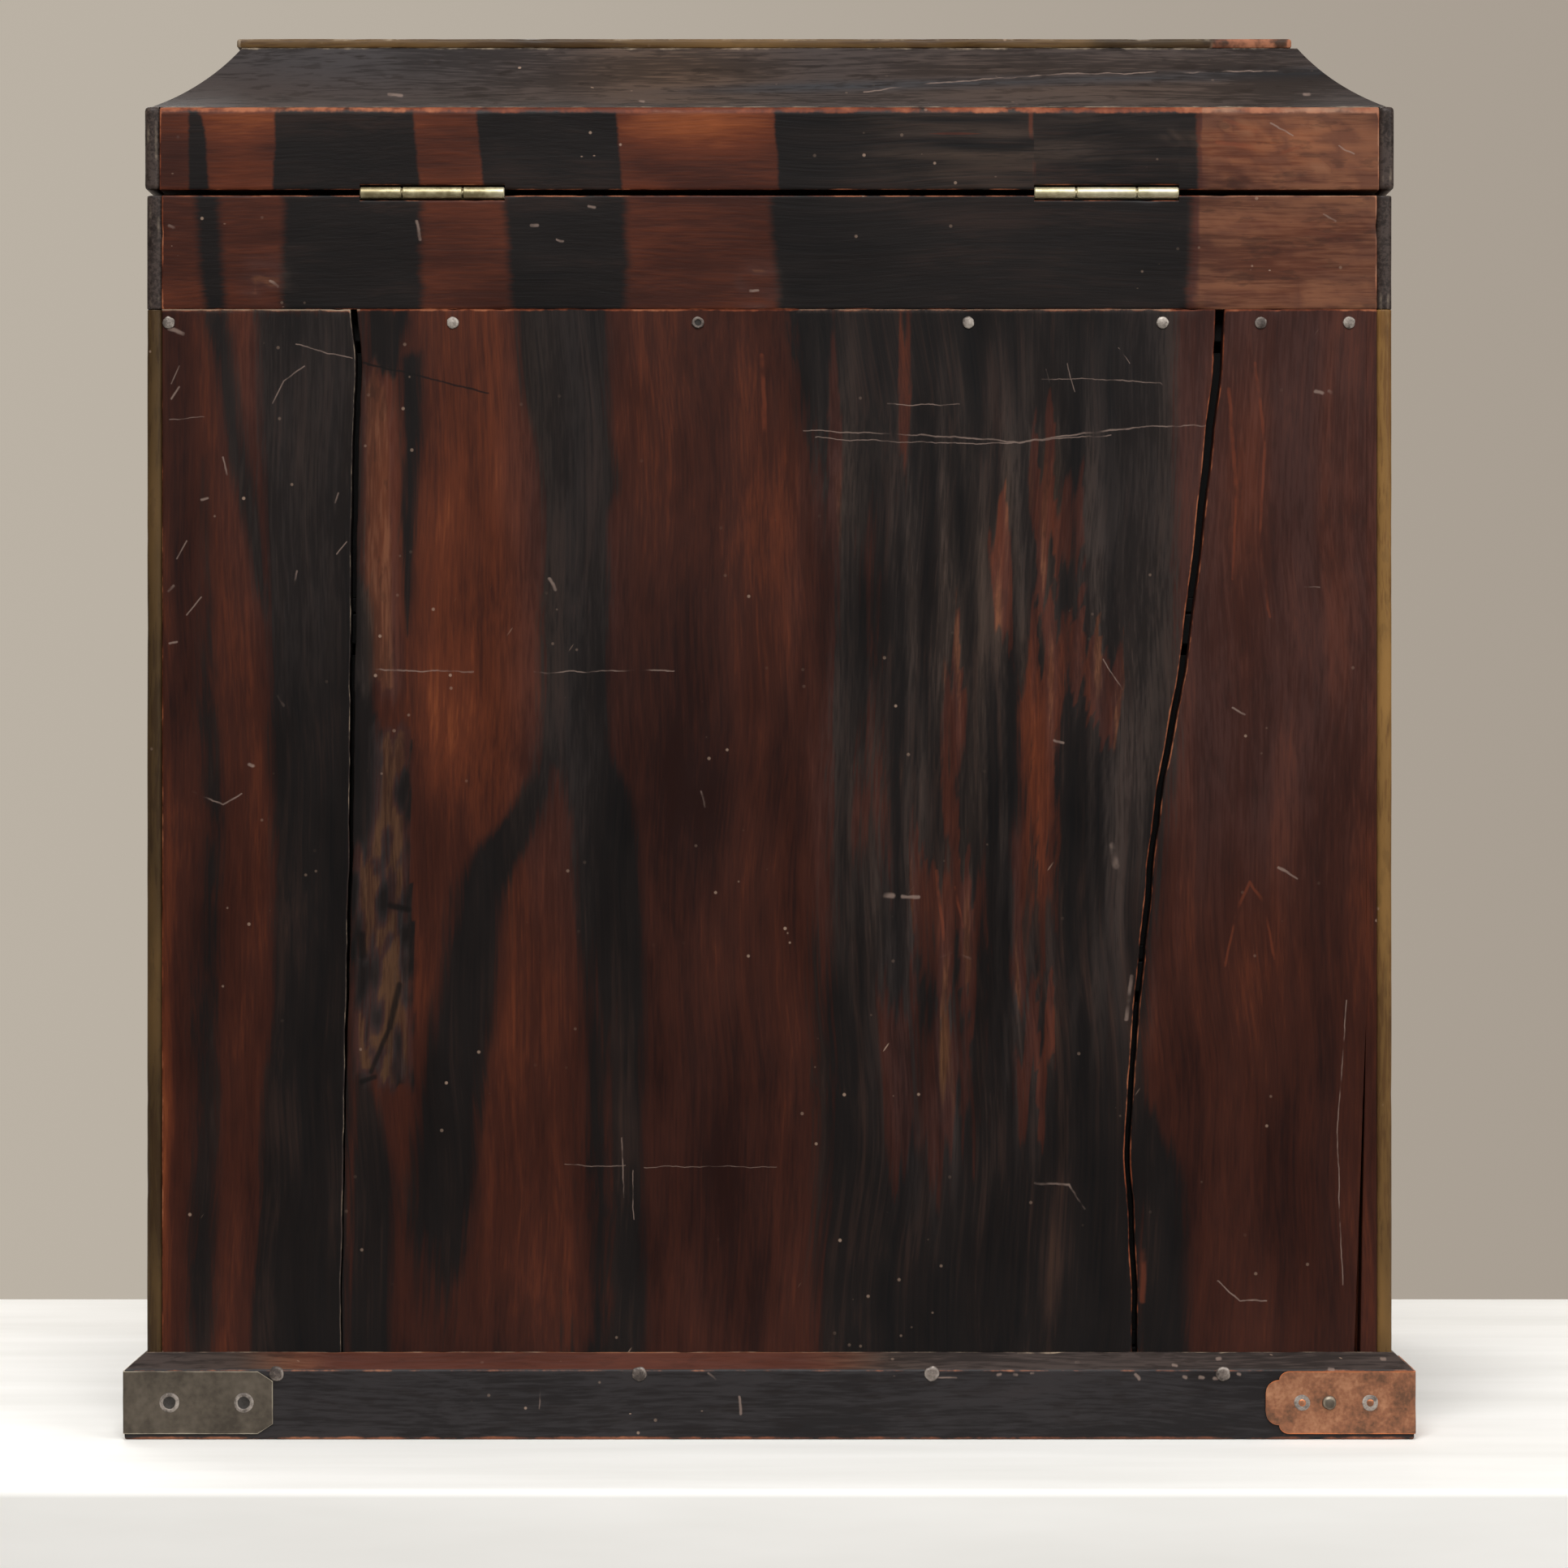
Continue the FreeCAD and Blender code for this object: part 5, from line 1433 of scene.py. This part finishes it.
def dress_inner_boards():
    """Plain wood on the boards inside, painted dark as shade where they show through the cracks."""
    ease = 0.4
    looks = {"left_side": "bare_y", "right_side": "bare_y", "back": "bare_x", "bottom": "bare_x"}
    for drawer in DRAWERS:
        for part, look in looks.items():
            dress_node(f"{drawer}_drawer_{part}", PLAIN_WOODS[look], ease)
    for node in ("case_bottom_board", "lower_shelf", "upper_shelf"):
        dress_node(node, PLAIN_WOODS["smoked"], ease)
    dress_node("tray_floor", PLAIN_WOODS["aged"], ease)


# Metal


def add_turned(shape, centre, axis, profile, sides=20, wobble=0.0, material=0):
    """Add a turned solid of (radius, rise, worn) rings about an axis."""
    axis = Vector(axis)
    side = axis.orthogonal().normalized()
    up = axis.cross(side)
    rings = []
    for radius, rise, worn in profile:
        ring = []
        for step in range(sides if radius else 1):
            turn = 2 * math.pi * step / sides
            way = side * math.cos(turn) + up * math.sin(turn)
            uneven = 1 + wobble * noise.noise(way * 1.4 + centre)
            ring.append(add_vertex(shape, centre + way * radius * uneven + axis * rise, worn))
        rings.append(ring)
    for lower, upper in zip(rings, rings[1:]):
        for index in range(sides):
            corners = (lower[(index - 1) % len(lower)], lower[index % len(lower)],
                       upper[index % len(upper)], upper[(index - 1) % len(upper)])
            face = shape.faces.new(list(dict.fromkeys(corners)))
            face.material_index = material


def finish_metal(node, shape, materials, body):
    """Make a metal piece that stands for a node."""
    clean(shape)
    piece = make_object(f"{node}_worn", shape, materials)
    stand_for(piece, body, node)


def nail_head(low, high):
    """The top of a nail's head, the way it faces and its radius."""
    size = high - low
    axis = int(np.argmax(size))
    top = Vector((low + high) / 2)
    facing = Vector((0, 0, 0))
    facing[axis] = 1 if top[axis] > 0 else -1
    top[axis] = high[axis] if facing[axis] > 0 else low[axis]
    return top, facing, max(np.delete(size, axis)) / 2


# Heads are sunk this far into what they hold
SUNK = -0.5


def dome(radius, rise):
    """A low hammered head."""
    return ((0, SUNK, 0), (radius, SUNK, 0), (radius, 0.1 * rise, 0.4), (radius * 0.86, 0.62 * rise, 0.7),
            (radius * 0.5, 0.94 * rise, 0.4), (0, rise, 0.2))


def broken_head(radius, rise):
    """A head whose middle has rusted away."""
    return ((0, SUNK, 0), (radius, SUNK, 0), (radius, 0.1 * rise, 0.4), (radius * 0.84, 0.8 * rise, 0.6),
            (radius * 0.6, 0.7 * rise, 0.2), (radius * 0.5, 0.1 * rise, -1), (0, 0.05 * rise, -1))


# Turned shapes as rings of (radius, rise, worn)
SUNK_RING = ((0, SUNK, 0), (2.6, SUNK, 0), (2.6, 0.0, 0.3), (2.35, 0.14, 0.2), (2.0, 0.2, 0.5),
             (1.7, 0.14, 0.2), (1.6, 0.06, -1), (0, 0.05, -1))
TACK_RING = ((0, SUNK, 0), (2.1, SUNK, 0), (2.1, 0.02, 0.4), (1.7, 0.12, 0.45), (1.2, 0.1, 0.1),
             (0, 0.08, 0))
# Places along x of the back's broken nail and dull nails, and how far from them a nail is still meant
BROKEN_NAIL_AT = 18.6
DULL_NAILS_AT = (18.6, -128.7)
NAIL_NEAR = 4
# Heads larger than this in the copper plates are studs
TACK_LIMIT = 1.8


def make_nails():
    """Nail heads on the back and the plinth."""
    for node, rise, all_dull in (("back_panel_nails", 0.4, False), ("plinth_nails", 0.45, True)):
        shape = new_shape()
        for low, high in lumps(node):
            top, facing, radius = nail_head(low, high)
            broken = not all_dull and abs(top.x - BROKEN_NAIL_AT) < NAIL_NEAR
            dull = all_dull or any(abs(top.x - place) < NAIL_NEAR for place in DULL_NAILS_AT)
            profile = broken_head(radius, rise) if broken else dome(radius, rise)
            add_turned(shape, top - facing * rise, facing, profile, wobble=0.14, material=int(dull))
        finish_metal(node, shape, [NAIL, DULL_NAIL], "case")


def make_plate_nails():
    """Nails in the corner plates: sunk rings in the iron one, tacks and studs in the copper ones."""
    outer = span("back_right_iron_corner_plate")[1]
    shape = new_shape()
    for low, high in lumps("corner_plate_nails"):
        top, facing, radius = nail_head(low, high)
        seat = top + facing * (abs(outer.dot(facing)) - top.dot(facing))
        if top.x > 0 and top.y > 0:
            add_turned(shape, seat, facing, SUNK_RING, wobble=0.05)
        elif radius > TACK_LIMIT:
            add_turned(shape, seat, facing, dome(radius, 1.1), wobble=0.08, material=2)
        else:
            add_turned(shape, seat, facing, TACK_RING, wobble=0.06)
            add_turned(shape, seat, facing, dome(radius, 0.35), wobble=0.08, material=1)
    finish_metal("corner_plate_nails", shape, [NAIL, COPPER, IRON], "case")


PLATE_THICKNESS = 0.6
PLATE_BEND = 1.2
# The ends of the copper plates have two lobes with a cusp between them, those of the iron one are canted
LOBE_LENGTH, LOBE_HEIGHT = 6.3, 5.6
CUSP_LENGTH, CUSP_HEIGHT = 3.5, 2.3
CANT_LENGTH, CANT_HEIGHT = 4, 2.6
LOBE_STEPS = 6
# Shares of a plate's height at which it has points
PLATE_SHARES = (0, 0.03, 0.1, *np.linspace(0.18, 0.82, 9), 0.9, 0.97, 1)


def plate_edge(length, scalloped):
    """Half a plate's lower edge as (run, rise) points from its bend to its end."""
    if scalloped:
        cut = length - LOBE_LENGTH
        cusp = (length - CUSP_LENGTH, CUSP_HEIGHT)
        points = []
        for start, end in (((cut, 0.0), cusp), (cusp, (length, LOBE_HEIGHT))):
            for step in range(1, LOBE_STEPS + 1):
                turn = math.pi / 2 * step / LOBE_STEPS
                points.append((start[0] + (end[0] - start[0]) * math.sin(turn),
                               end[1] - (end[1] - start[1]) * math.cos(turn)))
    else:
        cut = length - CANT_LENGTH
        points = [(cut + share * CANT_LENGTH, share * CANT_HEIGHT) for share in (0.5, 0.875, 1)]
    runs = [0, 0.4, 0.8] + list(np.linspace(PLATE_BEND, cut - 0.6, 20)) + [cut]
    return [(run, 0.0) for run in runs] + points


def plate_place(reach, run, depth):
    """A level place on a bent plate: along the back or front before the bend, along the side after it."""
    if abs(run) < PLATE_BEND:
        start = Vector((reach.x - PLATE_BEND, reach.y - depth))
        corner = Vector((reach.x - depth, reach.y - depth))
        end = Vector((reach.x - depth, reach.y - PLATE_BEND))
        return bent(start, corner, end, (run + PLATE_BEND) / (2 * PLATE_BEND))
    if run < 0:
        return Vector((reach.x + run, reach.y - depth))
    return Vector((reach.x - depth, reach.y - run))


def make_plates():
    """Bent corner plates, dented, with rubbed rims."""
    for hand, hand_sign in HANDS.items():
        for end, end_sign in (("front", -1), ("back", 1)):
            slot = "iron" if (end, hand) == ("back", "right") else "copper"
            node = f"{end}_{hand}_{slot}_corner_plate"
            low, high = span(node)
            reach = Vector((max(abs(low.x), abs(high.x)), max(abs(low.y), abs(high.y))))
            half = plate_edge(high.x - low.x, slot == "copper")
            columns = [(-run, rise) for run, rise in reversed(half[1:])] + half

            def point(run, height, depth):
                level = plate_place(reach, run, depth)
                return Vector((level.x * hand_sign, level.y * end_sign, height))

            rings = []
            for run, rise in columns:
                outside = []
                inside = []
                for share in PLATE_SHARES:
                    height = low.z + rise + share * (high.z - low.z - 2 * rise)
                    border = abs(run) == half[-1][0] or share in (0, 1)
                    dent = noise.noise(Vector((run / 7, height / 6, hand_sign + 3 * end_sign)))
                    depth = 0.12 if border else 0.1 * (1 + dent)
                    outside.append((point(run, height, depth), 1.0 if border else 0.0))
                    inside.append((point(run, height, PLATE_THICKNESS), 0.0))
                rings.append(outside + inside[::-1])
            finish_metal(node, swept_mesh(rings), [IRON if slot == "iron" else COPPER], "case")


BARREL_RADIUS = 1.5
BARREL_EASE = 0.25
MIDDLE_KNUCKLE_HALF = 8.0
KNUCKLE_GAP_HALF = 0.16
# The leaves end this far before the barrel's axis
LEAF_END = 1


def make_hinges():
    """Butt hinges: three knuckles on a barrel and two leaves each."""
    rim = BARREL_RADIUS - BARREL_EASE
    for body, leaf_foot in (("case", TRAY_HIGH.z - LEAF_THICKNESS), ("lid", LID_LOW.z)):
        node = f"hinge_{body}_leaves"
        shape = new_shape()
        leaf_head = leaf_foot + LEAF_THICKNESS
        leaf_low, leaf_high = span(node)[0].y, HINGE.y - LEAF_END
        for let_in in LET_INS:
            start, end = let_in[0] + HINGE_ROOM, let_in[1] - HINGE_ROOM
            first = (start + end) / 2 - MIDDLE_KNUCKLE_HALF
            second = (start + end) / 2 + MIDDLE_KNUCKLE_HALF
            knuckles = [(first + KNUCKLE_GAP_HALF, second - KNUCKLE_GAP_HALF)]
            if body == "case":
                knuckles = [(start, first - KNUCKLE_GAP_HALF), (second + KNUCKLE_GAP_HALF, end)]
            for low, high in knuckles:
                profile = ((0, low, 0), (rim, low, 0.6), (BARREL_RADIUS, low + BARREL_EASE, 0.5),
                           (BARREL_RADIUS, high - BARREL_EASE, 0.5), (rim, high, 0.6), (0, high, 0))
                add_turned(shape, Vector((0, HINGE.y, HINGE.z)), (1, 0, 0), profile, sides=28)
            corners = rectangle(leaf_low, leaf_foot, leaf_high, leaf_head, *[0.1] * 4)
            add_swept(shape, bar_rings(corners, (1, 1, 1, 1), ((start, 0, 0), (end, 0, 0))))
        finish_metal(node, shape, [BRASS], body)
    for node in ("hinge_pins", "hinge_case_screws", "hinge_lid_screws"):
        dress_node(node, BRASS, 0.1)


POST_X = 32.0
POST_HALF_WIDTH = 2.5
# A post's nose is this far in front of its eye
NOSE_REACH = 2.63
NOSE_HALF_HEIGHT, FOOT_HALF_HEIGHT = 2.6, 3.6
# The clinched pin inside the drawer front, and how far it starts in the wood and stands out of it
CLINCH_HALF_LENGTH, CLINCH_HALF_HEIGHT = 5, 1.7
CLINCH_SUNK, CLINCH_RISE = 0.4, 1
ROSETTE = ((0, -0.3, 0), (7.5, -0.3, 0), (7.5, 0.35, 1), (7.0, 0.75, 0.7), (6.2, 0.8, 0), (5.6, 0.55, 0),
           (5.0, 0.85, 0.5), (3.4, 1.3, 0.3), (0, 1.45, 0))
BAIL_DROP = 22.0
# Half the bail's width, and where its ends are in the posts
BAIL_HALF, BAIL_END = 37, 28.4
BAR_RADIUS, GRIP_RADIUS = 1.6, 1.72
EYE_BEND, CORNER_BEND = 2.6, 5
# Half the length that hands have rubbed
RUBBED_HALF = 26
BAIL_SIDES = 14


def make_posts(name, eye, front_low, front_high):
    """Rosettes with eye posts on a drawer front, clinched inside."""
    shape = new_shape()
    for sign in (-1, 1):
        x = sign * POST_X
        add_turned(shape, Vector((x, front_low.y, eye.z)), (0, -1, 0), ROSETTE, sides=32, wobble=0.02)
        nose = eye.y - NOSE_REACH
        corners = ((nose, eye.z - NOSE_HALF_HEIGHT, 2.2), (front_low.y, eye.z - FOOT_HALF_HEIGHT, 0.4),
                   (front_low.y, eye.z + FOOT_HALF_HEIGHT, 0.4), (nose, eye.z + NOSE_HALF_HEIGHT, 2.2))
        stations = eased_ends(x - POST_HALF_WIDTH, x + POST_HALF_WIDTH, 4, 0.6)
        add_swept(shape, bar_rings(corners, (3, 2, 3, 2), stations))
        corners = rectangle(front_high.y - CLINCH_SUNK, eye.z - CLINCH_HALF_HEIGHT,
                            front_high.y + CLINCH_RISE, eye.z + CLINCH_HALF_HEIGHT, *[0.3] * 4)
        stations = eased_ends(x - CLINCH_HALF_LENGTH, x + CLINCH_HALF_LENGTH, 4, 0.4)
        add_swept(shape, bar_rings(corners, (2, 2, 2, 2), stations))
    finish_metal(f"{name}_drawer_pull_posts", shape, [COPPER], f"{name}_drawer")


def make_bail(name, eye):
    """A round bar bent into a bail, thicker and rubbed where it is gripped."""
    corners = ((-BAIL_END, 0, 0), (-BAIL_HALF, 0, EYE_BEND), (-BAIL_HALF, -BAIL_DROP, CORNER_BEND),
               (BAIL_HALF, -BAIL_DROP, CORNER_BEND), (BAIL_HALF, 0, EYE_BEND), (BAIL_END, 0, 0))
    path = [Vector((x, z)) for x, z, worn in eased_outline(corners, (3, 6, 20, 6, 3, 1), segments=6)]
    turns = [2 * math.pi * step / BAIL_SIDES for step in range(BAIL_SIDES)]
    rings = []
    for index, point in enumerate(path):
        along = path[min(len(path) - 1, index + 1)] - path[max(0, index - 1)]
        if along.length < SAME_PLACE:
            continue
        along.normalize()
        up = Vector((-along.y, 0, along.x))
        gripped = abs(point.y + BAIL_DROP) < 0.5
        radius = GRIP_RADIUS if gripped else BAR_RADIUS
        worn = 0.6 if gripped and abs(point.x) < RUBBED_HALF else 0.2
        centre = Vector((point.x, eye.y, eye.z + point.y))
        ways = [Vector((0, 1, 0)) * math.cos(turn) + up * math.sin(turn) for turn in turns]
        rings.append([(centre + way * radius, worn) for way in ways])
    shape = new_shape()
    add_swept(shape, rings)
    finish_metal(f"{name}_drawer_bail", shape, [COPPER], f"{name}_bail")


def make_pulls():
    """Posts on each drawer and the bails that hang in them."""
    for name in DRAWERS:
        eye = joint_place(f"{name}_bail_swing")
        make_posts(name, eye, *span(f"{name}_drawer_front"))
        make_bail(name, eye)


make_back_boards()
make_sides()
make_back_walls()
make_front_walls()
make_coves()
make_top_panel()
make_plinth()
make_drawer_fronts()
dress_inner_boards()
make_nails()
make_plate_nails()
make_plates()
make_hinges()
make_pulls()


# Stage, light and camera


def make_floor():
    """A plain pale block to stand on."""
    near, far, half_width, thick = 212.0, -200.0, 1100.0, 70.0
    corners = rectangle(far, -thick, near, 0, 1, 1, 2, 2)
    rings = bar_rings(corners, (1, 1, 1, 1), ((-half_width, 0, 0), (half_width, 0, 0)))
    m = Material("pale_floor")
    cloud = m.noise(m.place(), (5.0, 30.0, 30.0), 4.0)
    colour = m.ramp(cloud, ((0.3, (232, 231, 227)), (0.7, (246, 245, 242))))
    m.finish(Base_Color=colour, Roughness=0.75, Normal=m.bump(cloud, 0.2, 0.001))
    make_object("floor", swept_mesh(rings), [m.material])


def make_surround():
    """A soft grey surround, darker on one side and dimmer behind the camera."""
    world = bpy.data.worlds.new("surround")
    world.use_nodes = True
    m = Nodes(world.node_tree)
    spread = m.parts(m.place("Generated"))
    background = m.tree.nodes["Background"]
    colour = m.mix(m.step(spread["X"], -0.2, 0.2), screen(168, 158, 146), screen(187, 178, 165))
    m.put(background.inputs["Color"], colour)
    m.put(background.inputs["Strength"], m.step(spread["Y"], -0.9, 0.5, 1.0, 0.35))
    bpy.context.scene.world = world


# Lamps as a place and a size in metres, and a power in watts
LAMPS = {
    "key": ((0.1, 1.5, 1.75), 1.2, 46),
    "fill": ((-1.2, 1.2, 1.0), 1.0, 14),
    "front_fill": ((0.4, -1.6, 1.3), 1.4, 22),
}
LAMP_TARGET = Vector((0, 0, 0.2))


def make_lamps():
    """Soft square lights aimed at the chest."""
    for name, (place, size, power) in LAMPS.items():
        light = bpy.data.lights.new(name, "AREA")
        light.size = size
        light.energy = power
        lamp = bpy.data.objects.new(name, light)
        lamp.location = place
        lamp.rotation_euler = (LAMP_TARGET - Vector(place)).to_track_quat("-Z", "Y").to_euler()
        bpy.context.scene.collection.objects.link(lamp)


# The camera's focal length, its place in millimetres, and its distance from the back in metres
LENS = 104.6
CAMERA_X, CAMERA_Z = -3.85, 172
CAMERA_AWAY = 1.2


def make_camera():
    """Level with the middle of the chest, square on to its back."""
    camera = bpy.data.cameras.new("camera")
    camera.lens = LENS
    camera.sensor_width = 36
    view = bpy.data.objects.new("camera", camera)
    view.location = (CAMERA_X * MM, BACK * MM + CAMERA_AWAY, CAMERA_Z * MM)
    view.rotation_euler = (math.radians(90), 0, math.radians(180))
    bpy.context.scene.collection.objects.link(view)
    bpy.context.scene.camera = view


make_floor()
make_surround()
make_lamps()
make_camera()
bpy.context.scene.view_settings.view_transform = "Standard"
